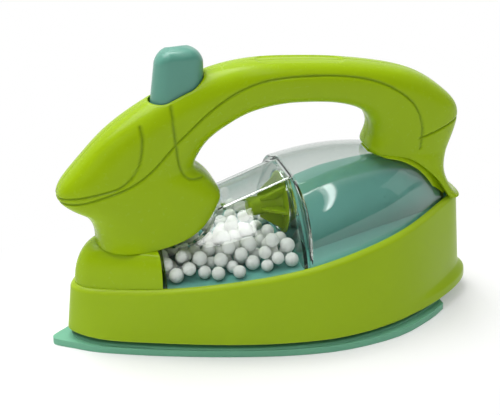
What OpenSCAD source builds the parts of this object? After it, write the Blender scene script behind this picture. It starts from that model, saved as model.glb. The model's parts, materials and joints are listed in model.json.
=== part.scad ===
// Toy steam iron: a hollow base with a clear tank, a fan that throws foam
// beads, and a looped handle with a push button. Millimetres, Z up, nose at -X.

/* [Sole] */
// How far the heel stands out behind the sole plate
heel_over = 15.5; // [12:0.1:19]
// Greatest width of the sole plate
sole_w = 80.2; // [70:0.2:90]
// Thickness of the sole plate
sole_t = 3; // [2:0.1:4]
// How far the sole tip stands ahead of the band
sole_lead = 6.4; // [4:0.1:9]
// Height of the shadow gap between sole and band
plinth_h = 3; // [2:0.1:4]
// How far the plinth is set in from the band
plinth_in = 1.4; // [1:0.1:1.7]

/* [Base band] */
// Length of the band at its lower edge
band_l = 172.6; // [165:0.2:180]
// How far the band is set in from the sole at each side
band_in = 0.3; // [0.1:0.1:1]
// How far the upper edge is set in at each side
band_flare = 2.8; // [1:0.1:4]
// How far the upper edge is set back at the nose
band_rake = 2.2; // [1:0.1:4]
// How far the upper edge is set in at the heel
heel_rake = 3.5; // [2:0.1:5]
// Height of the band at the nose
band_front_h = 20.8; // [19:0.2:26]
// Rise of the upper edge from nose to heel
band_rise = 20; // [15:0.2:24]
// Wall of the band
band_t = 2.2; // [1.8:0.1:3]
// Round of the upper edge
band_edge_r = 1.2; // [0.6:0.1:1.6]
// How far the heel rest stands out
lip_out = 2.6; // [1.5:0.1:4]
// Height of the heel rest
lip_h = 7; // [5:0.1:9]
// Ledge inside the band that carries the tank floor
shelf_w = 1.6; // [1:0.1:2.5]

/* [Tank] */
// How far the tank and handle start behind the band's upper edge
tank_set = 2.1; // [1:0.1:3]
// Thickness of the tank floor
floor_t = 2; // [1.5:0.1:3]
// Depth of the tank floor below the band's upper edge
floor_drop = 1.6; // [1:0.1:2.5]
// Wall of the clear cover
cover_t = 1.6; // [1.2:0.1:2.2]
// Width of the flat roof of the bead chamber
roof_w = 20; // [16:0.2:24]
// Height of the bead chamber roof at the fan, above the band's nose
roof_h = 39.8; // [38:0.1:42]
// Fall of the bead chamber roof toward the nose
roof_fall = 19; // [16:0.1:21]
// Space between the motor hood and the top of the cover's rear dome
dome_gap = 6.5; // [4:0.1:8]
// Width of the motor hood at the fan
hood_w = 38; // [34:0.2:42]
// Wall of the motor hood
hood_t = 1.4; // [1.2:0.1:1.8]
// Thickness of the clear bulkhead
bulk_t = 1.5; // [1:0.1:2]
// Largest bead diameter
bead_d = 6.2; // [5:0.1:6.6]
// Smallest bead diameter
bead_min_d = 5; // [4:0.1:5.6]
// Number of beads
bead_count = 98; // [20:1:150]

/* [Fan and motor] */
// Gap between the fan's rim and the chamber's floor and roof
fan_edge = 1.6; // [1.4:0.1:4]
// Length of the fan, hub tip to back of disc
fan_l = 15.4; // [13:0.1:17]
// Radius of the fan hub
hub_r = 3.9; // [3:0.1:4.5]
// Thickness of the fan disc
disc_t = 1.3; // [1:0.1:2]
// Thickness of a fan vane
vane_t = 1.3; // [1:0.1:2]
// Number of vanes
vane_n = 6; // [4:1:8]
// Diameter of the motor shaft
shaft_d = 2; // [1.5:0.1:2.3]
// Diameter of the motor can
motor_d = 17; // [15:0.1:18]
// Height across the flats of the motor can
motor_flat = 13; // [12:0.1:14]
// Length of the motor can
motor_l = 18; // [16:0.1:20]
// Length of the motor's end cap
endcap_l = 4; // [3:0.1:5]
// Space between the bulkhead and the motor
motor_gap = 9.5; // [9:0.1:12]
// Space between the motor and the hood above it
motor_head = 1.2; // [0.6:0.1:2]

/* [Front pedestal] */
// Height of the pedestal above the band's nose
pedestal_h = 17.2; // [15:0.1:19]
// How far the pedestal is set in from the band's edge
pedestal_in = 1.8; // [1.3:0.1:2.1]

/* [Handle] */
// Height of the handle above the pedestal
handle_h = 68.5; // [64:0.1:74]
// Greatest width of the handle, at its foot
handle_w = 31; // [28:0.2:33]
// Depth of the line grooves in the handle
groove_d = 0.6; // [0.4:0.1:0.8]
// Width of the line grooves in the handle
groove_w = 1.2; // [0.8:0.1:1.6]
// Length of the thumb recess on top of the grip
recess_l = 37; // [30:0.5:44]
// Width of the thumb recess
recess_w = 9; // [7:0.1:11]
// Diameter of the handle screws
handle_screw_d = 2.6; // [2:0.1:3]
// Head diameter of the handle screws
handle_head_d = 4.8; // [4:0.1:5.4]
// Length of the handle screws
handle_screw_l = 12; // [9:0.1:14]

/* [Button] */
// Length of the push button
button_l = 21.6; // [18:0.2:23]
// Width of the push button
button_w = 13.4; // [11:0.2:14]
// Height of the push button's cap, from its flange
button_h = 26; // [22:0.1:28]
// Rise of the push button's rounded top
button_crown = 4.6; // [3:0.1:7]
// Narrowing of the push button toward its top
button_taper = 2.2; // [0.6:0.1:2.4]
// How far the stem stands ahead of the button's middle
stem_set = 4; // [2:0.1:5]
// Travel of the push button
button_travel = 3.5; // [2:0.1:4]
// Width of the flange round the button's foot
flange_w = 1.6; // [1:0.1:2]
// Thickness of the button's flange
flange_t = 2; // [1.5:0.1:3]
// Diameter of the button's stem
stem_d = 5; // [4:0.1:5.6]
// Gap between the return spring and the switch inside it
spring_gap = 0.1; // [0.1:0.1:0.6]
// Wire of the return spring
spring_wire = 0.7; // [0.5:0.1:0.9]
// Length of the return spring at rest
spring_l = 12.4; // [11:0.1:14]
// Number of turns of the return spring
spring_turns = 5; // [4:1:6]

/* [Switch] */
// Width of the push switch
switch_w = 5; // [4:0.1:5.2]
// Height of the push switch
switch_h = 3.2; // [3:0.1:4]
// Height of the push switch's own cap
cap_h = 1; // [0.6:0.1:1.4]
// Thickness of the switch board
board_t = 1.6; // [1:0.1:2]
// Length of the switch board
board_l = 14; // [12:0.1:15]
// Width of the switch board
board_w = 12; // [11:0.1:13]

/* [Battery] */
// Diameter of a battery cell
cell_d = 14.2; // [13.5:0.1:14.6]
// Length of a battery cell
cell_l = 49; // [47:0.1:50.5]
// Wall of the battery box
box_t = 1.6; // [1.2:0.1:2.2]
// Thickness of the battery door
door_t = 1.8; // [1.4:0.1:2.2]
// Ledge that carries the battery door
door_ledge = 1.6; // [1.2:0.1:2]
// Thickness of the contact plates
contact_t = 0.5; // [0.3:0.1:0.8]

/* [Fasteners and fits] */
// Diameter of the sole screws
sole_screw_d = 3; // [2.5:0.1:3.5]
// Head diameter of the sole screws
sole_head_d = 5.6; // [5:0.1:6]
// Length of the sole screws
sole_screw_l = 14; // [10:0.1:16]
// Outer diameter of the screw bosses
boss_d = 7.4; // [6.5:0.1:9]
// Gap between pieces that are fixed to each other
seat_gap = 0.3; // [0.2:0.05:0.4]
// Gap round the moving button
slide_gap = 0.3; // [0.2:0.05:0.4]
// Gap round the fan
fan_gap = 0.6; // [0.4:0.05:0.8]
// Radial clearance of the shaft in its bearing
bearing_gap = 0.05; // [0.02:0.01:0.1]

/* [Hidden] */
$fn = 48;
// How far a cut runs past the faces that it opens
overrun = 1;
// Steps between two hand-chosen points of a plan outline
plan_steps = 3;
// Steps between two hand-chosen stations of the handle
handle_steps = 2;
// Points of half a handle section, less one
handle_points = 12;
// Points of half a cover section, less one
arch_points = 9;

// Reference places, worked out from the sizes above
band_z = sole_t + plinth_h;
nose_z = band_z + band_front_h;
overall_l = sole_lead + band_l + lip_out;
sole_l = sole_lead + band_l - heel_over;
band_w = sole_w - 2 * band_in;
band_top_l = band_l - band_rake - heel_rake;
band_top_w = band_w - 2 * band_flare;
tip_x = -overall_l / 2;
band_x = tip_x + sole_lead;
top_x = band_x + band_rake;
tank_x = top_x + tank_set;
tank_l = band_top_l - tank_set;
slope_share = band_rise / band_top_l;
tilt = atan(slope_share);
pedestal_z = nose_z + pedestal_h;

// Places along the tank, as shares of its length
pedestal_end_share = 0.186;
step_share = 0.532;
button_share = 0.263;
well_share = 0.765;
recess_share = 0.57;
recess_low_share = 0.88;
lip_start_share = 0.8;
foot_top_share = 0.35;
screw_nose_share = 0.135;
screw_heel_share = 0.86;
screw_mid_share = 0.5;
screw_side_share = 0.68;
// Plan outlines: share of the length, share of half the width
sole_shares = [[0, 0], [0.006, 0.05], [0.045, 0.165], [0.1, 0.315], [0.215, 0.52], [0.33, 0.69],
    [0.44, 0.83], [0.57, 0.955], [0.7, 1], [0.84, 0.915], [0.945, 0.705], [1, 0.54]];
band_shares = [[0, 0], [0.01, 0.11], [0.06, 0.32], [0.165, 0.535], [0.28, 0.725], [0.4, 0.885],
    [0.52, 0.985], [0.63, 1], [0.76, 0.875], [0.86, 0.655], [0.94, 0.38], [0.985, 0.17], [1, 0]];
top_shares = [[0, 0], [0.01, 0.13], [0.05, 0.3], [0.165, 0.6], [0.28, 0.805], [0.4, 0.94],
    [0.52, 1], [0.63, 0.95], [0.76, 0.79], [0.86, 0.56], [0.94, 0.31], [0.985, 0.15], [1, 0]];
// Crest of the cover's rear dome: share along the tank, share of dome_rise
crest_shares = [[0.532, 0.958], [0.58, 0.984], [0.64, 1], [0.7, 0.984], [0.745, 0.952],
    [0.788, 0.901], [0.818, 0.843], [0.848, 0.751], [0.873, 0.655], [0.898, 0.521], [0.92, 0.39],
    [0.94, 0.232], [0.951, 0.134]];
// Crest of the motor hood: share along the tank, share of hood_rise, share of hood_w
hood_shares = [[0.541, 0.82, 1], [0.57, 0.867, 0.98], [0.63, 0.96, 0.91], [0.67, 0.995, 0.83],
    [0.72, 1, 0.75], [0.77, 0.965, 0.67], [0.82, 0.85, 0.6], [0.86, 0.7, 0.53], [0.9, 0.5, 0.44],
    [0.94, 0.2, 0.32]];
// Handle stations: outer line x and z, inner line x and z, half width, place of the
// widest point along the section, squareness of its inner side
handle_shares = [[0.056, 0, 0.183, 0, 1, 0.85, 6], [0.051, 0.102, 0.268, 0.034, 0.96, 0.8, 6],
    [0.03, 0.193, 0.322, 0.115, 0.91, 0.75, 5.5], [-0.001, 0.238, 0.35, 0.209, 0.87, 0.7, 5],
    [-0.027, 0.292, 0.357, 0.272, 0.84, 0.66, 4.4], [-0.033, 0.35, 0.33, 0.375, 0.79, 0.62, 3.6],
    [-0.019, 0.416, 0.303, 0.432, 0.75, 0.58, 3.2], [0.027, 0.54, 0.305, 0.489, 0.73, 0.56, 3],
    [0.088, 0.683, 0.332, 0.584, 0.71, 0.55, 3], [0.192, 0.841, 0.381, 0.668, 0.69, 0.55, 3],
    [0.334, 0.98, 0.445, 0.733, 0.67, 0.55, 3], [0.453, 1.02, 0.515, 0.755, 0.65, 0.55, 3],
    [0.547, 1.008, 0.56, 0.753, 0.64, 0.55, 3], [0.648, 0.98, 0.622, 0.738, 0.64, 0.55, 3],
    [0.756, 0.932, 0.682, 0.704, 0.64, 0.55, 3], [0.87, 0.843, 0.732, 0.634, 0.65, 0.55, 3],
    [0.95, 0.706, 0.751, 0.53, 0.65, 0.55, 3.2], [0.986, 0.57, 0.744, 0.452, 0.64, 0.6, 3.6]];
// Stations of the rear pillar, whose inner line lies on the cover: outer x and z, inner x,
// half width, place of the widest point, squareness
pillar_shares = [[0.97, 0.381, 0.754, 0.63, 0.75, 5], [0.959, 0.298, 0.818, 0.64, 0.8, 6],
    [0.955, 0.226, 0.872, 0.65, 0.8, 6], [0.959, 0.161, 0.912, 0.66, 0.8, 6],
    [0.971, 0.102, 0.936, 0.66, 0.8, 6], [0.985, 0.06, 0.951, 0.66, 0.8, 6]];
// Foot of the rear pillar on the band: outer x, inner x, half width, widest point, squareness
foot_shares = [0.997, 0.962, 0.64, 0.7, 5];
// Squareness of the handle's outer side and of the cover's dome
outer_square = 2.6;
dome_square = 2.7;
hood_square = 2.4;
// How strongly the walls of the bead chamber bow: 1 is flat
wall_bow = 1.6;
// Top of the pedestal as a share of its foot, along and across
pedestal_top_shares = [0.71, 0.8];

// A point on the smooth curve between b and c, with a and d as neighbours
function curve(a, b, c, d, t) = b + (c - a) * (t / 2) + (2 * a - 5 * b + 4 * c - d) * (t * t / 2)
    + (3 * b - a - 3 * c + d) * (t * t * t / 2);
// Smooth line through points, with one neighbour added at each end
function smooth(p, n, first, last) = let(q = concat([first], p, [last]))
    concat([for (i = [1:len(q) - 3]) for (j = [0:n - 1])
        curve(q[i - 1], q[i], q[i + 1], q[i + 2], j / n)], [p[len(p) - 1]]);
function flip(p) = [p[0], -p[1]];
function half_plan(x0, l, w, s) = let(p = [for (r = s) [x0 + r[0] * l, r[1] * w / 2]])
    smooth(p, plan_steps, flip(p[1]), flip(p[len(p) - 2]));
function open_plan(x0, l, w, s) = let(p = [for (r = s) [x0 + r[0] * l, r[1] * w / 2]])
    smooth(p, plan_steps, flip(p[1]), 2 * p[len(p) - 1] - p[len(p) - 2]);
function both_sides(h) = concat(h, [for (i = [len(h) - 2:-1:1]) flip(h[i])]);
function inward(loop, i) = let(n = len(loop), t = loop[(i + 1) % n] - loop[(i + n - 1) % n])
    [t[1], -t[0]] / norm(t);
function inset(loop, d) = [for (i = [0:len(loop) - 1]) loop[i] + d * inward(loop, i)];

sole_half = open_plan(tip_x, sole_l, sole_w, sole_shares);
sole_loop = concat(sole_half, [for (i = [len(sole_half) - 1:-1:1]) flip(sole_half[i])]);
band_loop = both_sides(half_plan(band_x, band_l, band_w, band_shares));
top_half = half_plan(top_x, band_top_l, band_top_w, top_shares);
top_loop = both_sides(top_half);

// Height of the band's upper edge and of the tank floor at x
function edge_z(x) = nose_z + slope_share * (x - top_x);
function floor_z(x) = edge_z(x) - floor_drop;
// Place along the tank
function along(share) = tank_x + share * tank_l;
// Outline inside the band's wall at its upper edge, for the tank floor and the cover
rim_loop = inset(top_loop, band_t + seat_gap);
rim_half = [for (i = [0:len(top_half) - 1]) rim_loop[i]];

pedestal_end_x = along(pedestal_end_share);
step_x = along(step_share);
bulk_x = step_x - bulk_t - seat_gap;
// Fan, motor, hood and dome, each from the one inside it
chamber_low = floor_z(bulk_x + bulk_t);
chamber_high = roof_z(bulk_x) - cover_t;
axis_z = (chamber_low + chamber_high) / 2;
fan_r = (chamber_high - chamber_low) / 2 - fan_edge;
motor_x = bulk_x + bulk_t + motor_gap;
motor_end_x = motor_x + motor_l;
hood_at_motor_share = lookup((motor_x - tank_x) / tank_l, [for (r = hood_shares) [r[0], r[1]]]);
hood_top = axis_z + motor_flat / 2 + motor_head + hood_t;
hood_rise = (hood_top - floor_z(motor_x)) / hood_at_motor_share;
dome_rise = hood_rise + dome_gap;

// Solid from rings of points: joins ring to ring, and closes the ends
// with strips that join the two halves of a ring
module skin(rings, loop = false) {
    n = len(rings);
    m = len(rings[0]);
    pts = [for (r = rings) for (p = r) p];
    last = loop ? n - 1 : n - 2;
    sides = [for (k = [0:last]) for (i = [0:m - 1])
        let(a = k * m + i, b = k * m + (i + 1) % m, c = ((k + 1) % n) * m, d = c + (i + 1) % m, e = c + i)
        each [[a, d, b], [a, e, d]]];
    ends = loop ? [] : [for (i = [0:m / 2 - 2]) let(j = m - 1 - i, o = (n - 1) * m)
        each concat([[i, i + 1, j - 1], [i, j - 1, j]],
            [[o + i, o + j - 1, o + i + 1], [o + i, o + j, o + j - 1]])];
    polyhedron(pts, concat(sides, ends), convexity = 10);
}

// Solid from rings that are closed flat outlines, with fan ends
module stack(rings) {
    n = len(rings);
    m = len(rings[0]);
    pts = [for (r = rings) for (p = r) p];
    sides = [for (k = [0:n - 2]) for (i = [0:m - 1])
        let(a = k * m + i, b = k * m + (i + 1) % m, c = a + m, d = b + m)
        each [[a, b, d], [a, d, c]]];
    ends = [for (i = [1:m - 2]) let(o = (n - 1) * m)
        each [[0, i + 1, i], [o, o + i, o + i + 1]]];
    polyhedron(pts, concat(sides, ends), convexity = 10);
}

// Battery compartment, from the cells
box_in_l = cell_l + 2 * contact_t + 2 * seat_gap;
box_in_w = 2 * cell_d + 3 * seat_gap;
box_x = 5;
door_z = sole_t - door_t - door_ledge / 2;
door_top = door_z + door_t;
cell_z = door_top + seat_gap + cell_d / 2;
box_top = cell_z + cell_d / 2 + seat_gap;
door_l = box_in_l + 2 * door_ledge;
door_w = box_in_w + 2 * door_ledge;
door_tab = 8;
door_screw_d = 2.5;
door_head_d = 4.6;
door_head_t = 1;
door_screw_l = 8;
door_screw_x = box_x - door_l / 2 - door_tab / 2;
// Places of the sole screws: one near the nose, one near the heel, one at each side
screw_side_y = screw_side_share * band_top_w / 2;
screw_places = [[along(screw_nose_share), 0], [along(screw_heel_share), 0],
    [along(screw_mid_share), screw_side_y], [along(screw_mid_share), -screw_side_y]];
head_t = 1.8;
head_sink = 0.5;

module boss_hole(d) {
    translate([0, 0, -overrun])
        cylinder(d = d, h = band_z + 2 * overrun);
}

module sole_plate() {
    color("cadetblue") difference() {
        union() {
            linear_extrude(sole_t) polygon(sole_loop);
            translate([0, 0, sole_t])
                linear_extrude(plinth_h) polygon(inset(band_loop, plinth_in));
            translate([box_x - box_in_l / 2 - box_t, -box_in_w / 2 - box_t, sole_t])
                cube([box_in_l + 2 * box_t, box_in_w + 2 * box_t, box_top + box_t - sole_t]);
            translate([door_screw_x, 0, sole_t])
                cylinder(d = boss_d, h = door_screw_l + head_sink);
        }
        translate([box_x - box_in_l / 2, -box_in_w / 2, -overrun])
            cube([box_in_l, box_in_w, box_top + overrun]);
        translate([box_x - door_l / 2 - seat_gap, -door_w / 2 - seat_gap, -overrun])
            cube([door_l + 2 * seat_gap, door_w + 2 * seat_gap, door_top + overrun]);
        translate([door_screw_x - door_tab / 2 - seat_gap, -door_tab / 2 - seat_gap, -overrun])
            cube([door_tab + 3 * seat_gap, door_tab + 2 * seat_gap, door_top + overrun]);
        translate([door_screw_x, 0, 0])
            cylinder(d = door_screw_d + seat_gap, h = door_z + door_screw_l + seat_gap);
        for (p = screw_places) translate(p) {
            boss_hole(sole_screw_d + seat_gap);
            translate([0, 0, -overrun])
                cylinder(d = sole_head_d + 2 * seat_gap, h = head_sink + head_t + overrun);
        }
    }
}

module battery_door() {
    color("cadetblue") difference() {
        union() {
            translate([box_x - door_l / 2, -door_w / 2, door_z])
                cube([door_l, door_w, door_t]);
            translate([door_screw_x - door_tab / 2, -door_tab / 2, door_z])
                cube([door_tab + seat_gap, door_tab, door_t]);
        }
        translate([door_screw_x, 0, door_z - overrun]) {
            cylinder(d = door_screw_d + seat_gap, h = door_t + 2 * overrun);
            cylinder(d = door_head_d + 2 * seat_gap, h = door_head_t + overrun);
        }
    }
}

// Countersunk tapping screw, head down, with a cross slot
module screw(d, head, l, sink) {
    slot_w = d / 4;
    difference() {
        union() {
            cylinder(d = head, h = sink);
            cylinder(d = d, h = l);
        }
        for (a = [0, 90]) rotate(a)
            translate([-d / 2, -slot_w / 2, -overrun])
                cube([d, slot_w, overrun + sink / 2]);
    }
}

module battery_door_screw() {
    color("silver") translate([door_screw_x, 0, door_z])
        screw(door_screw_d, door_head_d, door_screw_l, door_head_t);
}

module battery_cells() {
    nub_d = cell_d * 0.38;
    nub_l = cell_l * 0.03;
    color("dimgray") for (s = [-1, 1])
        translate([box_x - s * cell_l / 2, s * (cell_d + seat_gap) / 2, cell_z]) rotate([0, s * 90, 0]) {
            cylinder(d = cell_d, h = cell_l - nub_l);
            cylinder(d = nub_d, h = cell_l);
        }
}

module battery_contacts() {
    plate_w = cell_d * 0.8;
    color("gold") for (e = [-1, 1]) {
        translate([box_x + e * (box_in_l - contact_t) / 2 - contact_t / 2,
            -cell_d / 2 - plate_w / 2, cell_z - plate_w / 2])
            cube([contact_t, cell_d + plate_w, plate_w]);
    }
}

module sole_screws() {
    color("silver") for (p = screw_places) translate([p[0], p[1], head_sink])
        screw(sole_screw_d, sole_head_d, sole_screw_l, head_t);
}

// Section of the band at one place of its loop
function lip_at(x) = let(t = min(1, max(0, (x - along(lip_start_share)) / ((1 - lip_start_share) * tank_l))))
    lip_out * t * t * (3 - 2 * t);
function onto(p, drop) = [p[0], p[1], edge_z(p[0]) - drop];
function band_ring(i) = let(b = band_loop[i], t = top_loop[i], nb = inward(band_loop, i),
        nt = inward(top_loop, i), zt = edge_z(t[0]), h = zt - band_z, lip = lip_at(b[0]),
        shelf = floor_drop + floor_t + seat_gap / 4,
        at = function(z, d) let(u = (z - band_z) / h, p = (1 - u) * (b + d * nb) + u * (t + d * nt))
            [p[0], p[1], z])
    [at(band_z, -lip), at(band_z + lip_h / 3, -lip), at(band_z + lip_h, 0),
        at(zt - band_edge_r, 0), at(zt - band_edge_r / 3, band_edge_r / 3),
        onto(at(zt, band_edge_r), 0), onto(at(zt, band_t), 0),
        onto(at(zt - shelf, band_t), shelf), onto(at(zt - shelf, band_t + shelf_w), shelf),
        onto(at(zt - shelf, band_t), shelf + shelf_w), at(band_z, band_t)];

module base_band() {
    color("yellowgreen") skin([for (i = [0:len(band_loop) - 1]) band_ring(i)], true);
}

module tank_floor() {
    boss_top = floor_drop + floor_t / 2;
    pilot_d = sole_screw_d + seat_gap / 3;
    color("cadetblue") difference() {
        union() {
            translate([top_x, 0, nose_z - floor_drop - floor_t]) rotate([0, -tilt, 0])
                linear_extrude(floor_t * cos(tilt))
                    polygon([for (p = rim_loop) [(p[0] - top_x) / cos(tilt), p[1]]]);
            for (p = screw_places) translate([p[0], p[1], band_z])
                cylinder(d = boss_d, h = edge_z(p[0]) - boss_top - band_z);
        }
        for (p = screw_places) translate([p[0], p[1], band_z - overrun])
            cylinder(d = pilot_d, h = head_sink + sole_screw_l - band_z + 2 * overrun);
    }
}

// Half sections of the cover, as shares of half width and height: bowed walls and a flat roof
// in front, a rounded dome behind
function wall_half(i, roof) = let(k = arch_points - 2) i <= k
    ? [1 - (1 - roof) * pow(i / k, wall_bow), i / k] : [roof * (arch_points - i) / (arch_points - k), 1];
function dome_half(i, n) = let(a = 90 * i / arch_points) [pow(cos(a), 2 / n), pow(sin(a), 2 / n)];
function arch(x, half, y, z0, z1) = concat(
    [for (i = [0:arch_points]) [x, -y * half[i][0], z0 + (z1 - z0) * half[i][1]]],
    [for (i = [arch_points - 1:-1:0]) [x, y * half[i][0], z0 + (z1 - z0) * half[i][1]]]);
function roof_z(x) = nose_z + roof_h - roof_fall * (step_x - x) / (step_x - pedestal_end_x);
function crest_z(x) = floor_z(x) + dome_rise * lookup((x - tank_x) / tank_l, crest_shares);
function cover_y(x) = lookup(x, rim_half);
function wall_arch(x, d) = let(y = cover_y(x) - d, roof = (roof_w - d) / 2 / y)
    arch(x, [for (i = [0:arch_points]) wall_half(i, roof)], y, floor_z(x), roof_z(x) - d);
function dome_arch(x, d) = let(half = [for (i = [0:arch_points]) dome_half(i, dome_square)])
    arch(x, half, cover_y(x) - d, floor_z(x), crest_z(x) - d);
function reverse(p) = [for (i = [len(p) - 1:-1:0]) p[i]];

// Sections of the cover, inner line and outer line, from the pedestal to the heel
chamber_n = 7;
chamber_x = [for (i = [0:chamber_n])
    pedestal_end_x + seat_gap + i * (step_x - pedestal_end_x - seat_gap) / chamber_n];
dome_x = [for (r = crest_shares) if (r[0] > step_share) along(r[0])];
function shell(inner, outer) = concat(inner, reverse(outer));
cover_rings = concat(
    [for (x = chamber_x) shell(wall_arch(x, cover_t), wall_arch(x, 0))],
    [shell(wall_arch(step_x + cover_t * 7 / 8, cover_t), dome_arch(step_x + cover_t / 8, 0)),
        shell(dome_arch(step_x + cover_t, cover_t), dome_arch(step_x + cover_t, 0))],
    [for (x = dome_x) shell(dome_arch(x, cover_t), dome_arch(x, 0))]);

// Lower right outline of the handle's foot, which the cover meets
foot_top = pedestal_z + handle_h * foot_top_share;
foot_line = [for (r = stations()) if (r[3] < foot_top && r[2] < step_x) [r[2], r[3]]];

module tank_cover() {
    far = 2 * handle_h;
    cut = concat([for (p = foot_line) p + [seat_gap, -seat_gap]],
        [[foot_line[len(foot_line) - 1][0], pedestal_z + far], [pedestal_end_x - far, pedestal_z + far],
            [pedestal_end_x - far, pedestal_z - seat_gap]]);
    color("gainsboro", 0.4) difference() {
        skin(cover_rings);
        translate([0, band_w, 0]) rotate([90, 0, 0])
            linear_extrude(2 * band_w) polygon(cut);
    }
}

module tank_bulkhead() {
    x = bulk_x;
    z0 = floor_z(x + bulk_t) + seat_gap / 4;
    color("gainsboro", 0.4) difference() {
        translate([x, 0, 0]) rotate([90, 0, 90]) linear_extrude(bulk_t)
            polygon([for (p = wall_arch(x, cover_t + seat_gap)) [p[1], max(p[2], z0)]]);
        translate([x - overrun, 0, axis_z]) rotate([0, 90, 0])
            cylinder(r = fan_r + fan_gap, h = bulk_t + 2 * overrun);
    }
}

// Beads dropped one by one: each takes the lowest of a few trial places, and rests on the
// floor or on the beads below it
bead_trials = 80;
bead_gap = 0.06;
// How far the heap leans to one side
heap_share = 0.12;
function part_of_one(v) = v - floor(v);
function bead_r(i) = (bead_min_d + (bead_d - bead_min_d) * part_of_one(i * 0.618034)) / 2;
function wall_y(x, z) = let(y = cover_y(x) - cover_t, r = (roof_w - cover_t) / 2,
        u = (z - floor_z(x)) / (roof_z(x) - cover_t - floor_z(x))) y + (r - y) * pow(max(0, u), wall_bow);
function bead_rest(b, x, y, r) = max(concat([floor_z(x) + (r + bead_gap) / cos(tilt)],
    [for (q = b) let(d = norm([q[0] - x, q[1] - y]), s = q[3] + r + bead_gap)
        if (d < s) q[2] + sqrt(s * s - d * d)]));
function wall_lean(x, z, r) = norm([2 * r, wall_y(x + r, z) - wall_y(x - r, z),
    wall_y(x, z + r) - wall_y(x, z - r)]) / 2;
function bead_ok(x, y, z, r) = let(u = (x + r - bulk_x + fan_l) / fan_l, s = norm([y, z - axis_z]),
        sweep = hub_r + (fan_r - hub_r) * min(1, u) + r + fan_gap,
        room = min(roof_z(x - r) - cover_t, lookup(x - r, foot_line) - seat_gap) - r / 4)
    abs(y) + wall_lean(x, z, r) + seat_gap < wall_y(x, z) && z + r + bead_gap < room
        && (u < 0 || s > sweep);
function bead_try(b, i, k) = let(n = i * bead_trials + k, r = bead_r(i),
        x0 = pedestal_end_x + seat_gap + r + bead_gap, x1 = bulk_x - r - bead_gap,
        x = x0 + (x1 - x0) * part_of_one(n * 0.7548777),
        y = (cover_y(x) - cover_t - r) * (2 * part_of_one(n * 0.5698403) - 1),
        z = bead_rest(b, x, y, r))
    bead_ok(x, y, z, r) ? [x, y, z, r] : [];
function depth(p) = p[2] - floor_z(p[0]) + heap_share * p[1];
function lowest(c, i = 0, best = []) = i >= len(c) ? best
    : lowest(c, i + 1, len(best) == 0 || depth(c[i]) < depth(best) ? c[i] : best);
function bead_pile(b, i) = i >= bead_count ? b
    : let(c = [for (k = [0:bead_trials - 1]) let(t = bead_try(b, i, k)) if (len(t) > 0) t])
        bead_pile(len(c) > 0 ? concat(b, [lowest(c)]) : b, i + 1);

module beads() {
    color("white") for (p = bead_pile([], 0))
        translate([p[0], p[1], p[2]]) sphere(r = p[3]);
}

function hood_arch(r, d) = let(x = along(r[0]))
    arch(x, [for (i = [0:arch_points]) dome_half(i, hood_square)], r[2] * hood_w / 2 - d,
        floor_z(x) + seat_gap / 4, floor_z(x) + r[1] * hood_rise - d);

module motor_hood() {
    color("cadetblue")
        skin([for (r = hood_shares) shell(hood_arch(r, hood_t), hood_arch(r, 0))]);
}

// Motor: can with two flats, plastic end cap, cradle on the tank floor
module flatted(x, l, d) {
    translate([x, 0, axis_z]) rotate([0, 90, 0]) intersection() {
        cylinder(d = motor_d - d, h = l);
        translate([-(motor_flat - d) / 2, -motor_d / 2, 0])
            cube([motor_flat - d, motor_d, l]);
    }
}

module motor_can() {
    nose_d = motor_d * 0.3;
    nose_l = motor_l * 0.07;
    color("silver") difference() {
        union() {
            flatted(motor_x, motor_l, 0);
            translate([motor_x - nose_l, 0, axis_z]) rotate([0, 90, 0])
                cylinder(d = nose_d, h = nose_l);
        }
        translate([motor_x - nose_l - overrun, 0, axis_z]) rotate([0, 90, 0])
            cylinder(r = shaft_d / 2 + bearing_gap, h = nose_l + motor_l + 2 * overrun);
    }
}

module motor_endcap() {
    tab = motor_d / 10;
    color("ivory") difference() {
        union() {
            flatted(motor_end_x, endcap_l, tab);
            for (s = [-1, 1])
                translate([motor_end_x + endcap_l - tab, s * motor_flat / 3 - tab / 2, axis_z - tab])
                    cube([2 * tab, tab / 2, tab]);
        }
        translate([motor_end_x - overrun, 0, axis_z]) rotate([0, 90, 0])
            cylinder(r = shaft_d / 2 + seat_gap, h = endcap_l / 2 + overrun);
    }
}

module motor_cradle() {
    w = motor_d * 1.2;
    l = motor_l * 0.6;
    x = motor_x + motor_l * 0.2;
    top = axis_z + motor_flat * 0.15;
    color("cadetblue") difference() {
        translate([0, w / 2, 0]) rotate([90, 0, 0]) linear_extrude(w)
            polygon([[x, floor_z(x)], [x + l, floor_z(x + l)], [x + l, top], [x, top]]);
        flatted(x - overrun, l + 2 * overrun, -seat_gap);
    }
}

hub_x = bulk_x + bulk_t / 2 + disc_t / 2 - fan_l;

module motor_shaft() {
    color("silver") translate([hub_x + hub_r, 0, axis_z]) rotate([0, 90, 0])
        cylinder(d = shaft_d, h = motor_end_x + endcap_l / 4 - hub_x - hub_r);
}

module fan() {
    back = fan_l - disc_t;
    vane_foot = hub_r + vane_t;
    color("yellowgreen") translate([hub_x, 0, axis_z]) rotate([0, 90, 0]) difference() {
        union() {
            rotate_extrude() polygon([[0, 0], [hub_r * 0.75, 0], [hub_r, hub_r * 0.3],
                [hub_r, back * 0.6], [hub_r * 1.4, back], [hub_r, fan_l], [0, fan_l]]);
            translate([0, 0, back]) cylinder(r = fan_r, h = disc_t);
            for (k = [0:vane_n - 1]) rotate(k * 360 / vane_n)
                translate([0, vane_t / 2, 0]) rotate([90, 0, 0]) linear_extrude(vane_t)
                    polygon([[hub_r / 2, back * 0.4], [vane_foot, back * 0.4], [fan_r - vane_t, back],
                        [fan_r - vane_t, back + disc_t / 2], [hub_r / 2, back + disc_t / 2]]);
        }
        translate([0, 0, hub_r]) cylinder(d = shaft_d, h = fan_l);
    }
}

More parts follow.
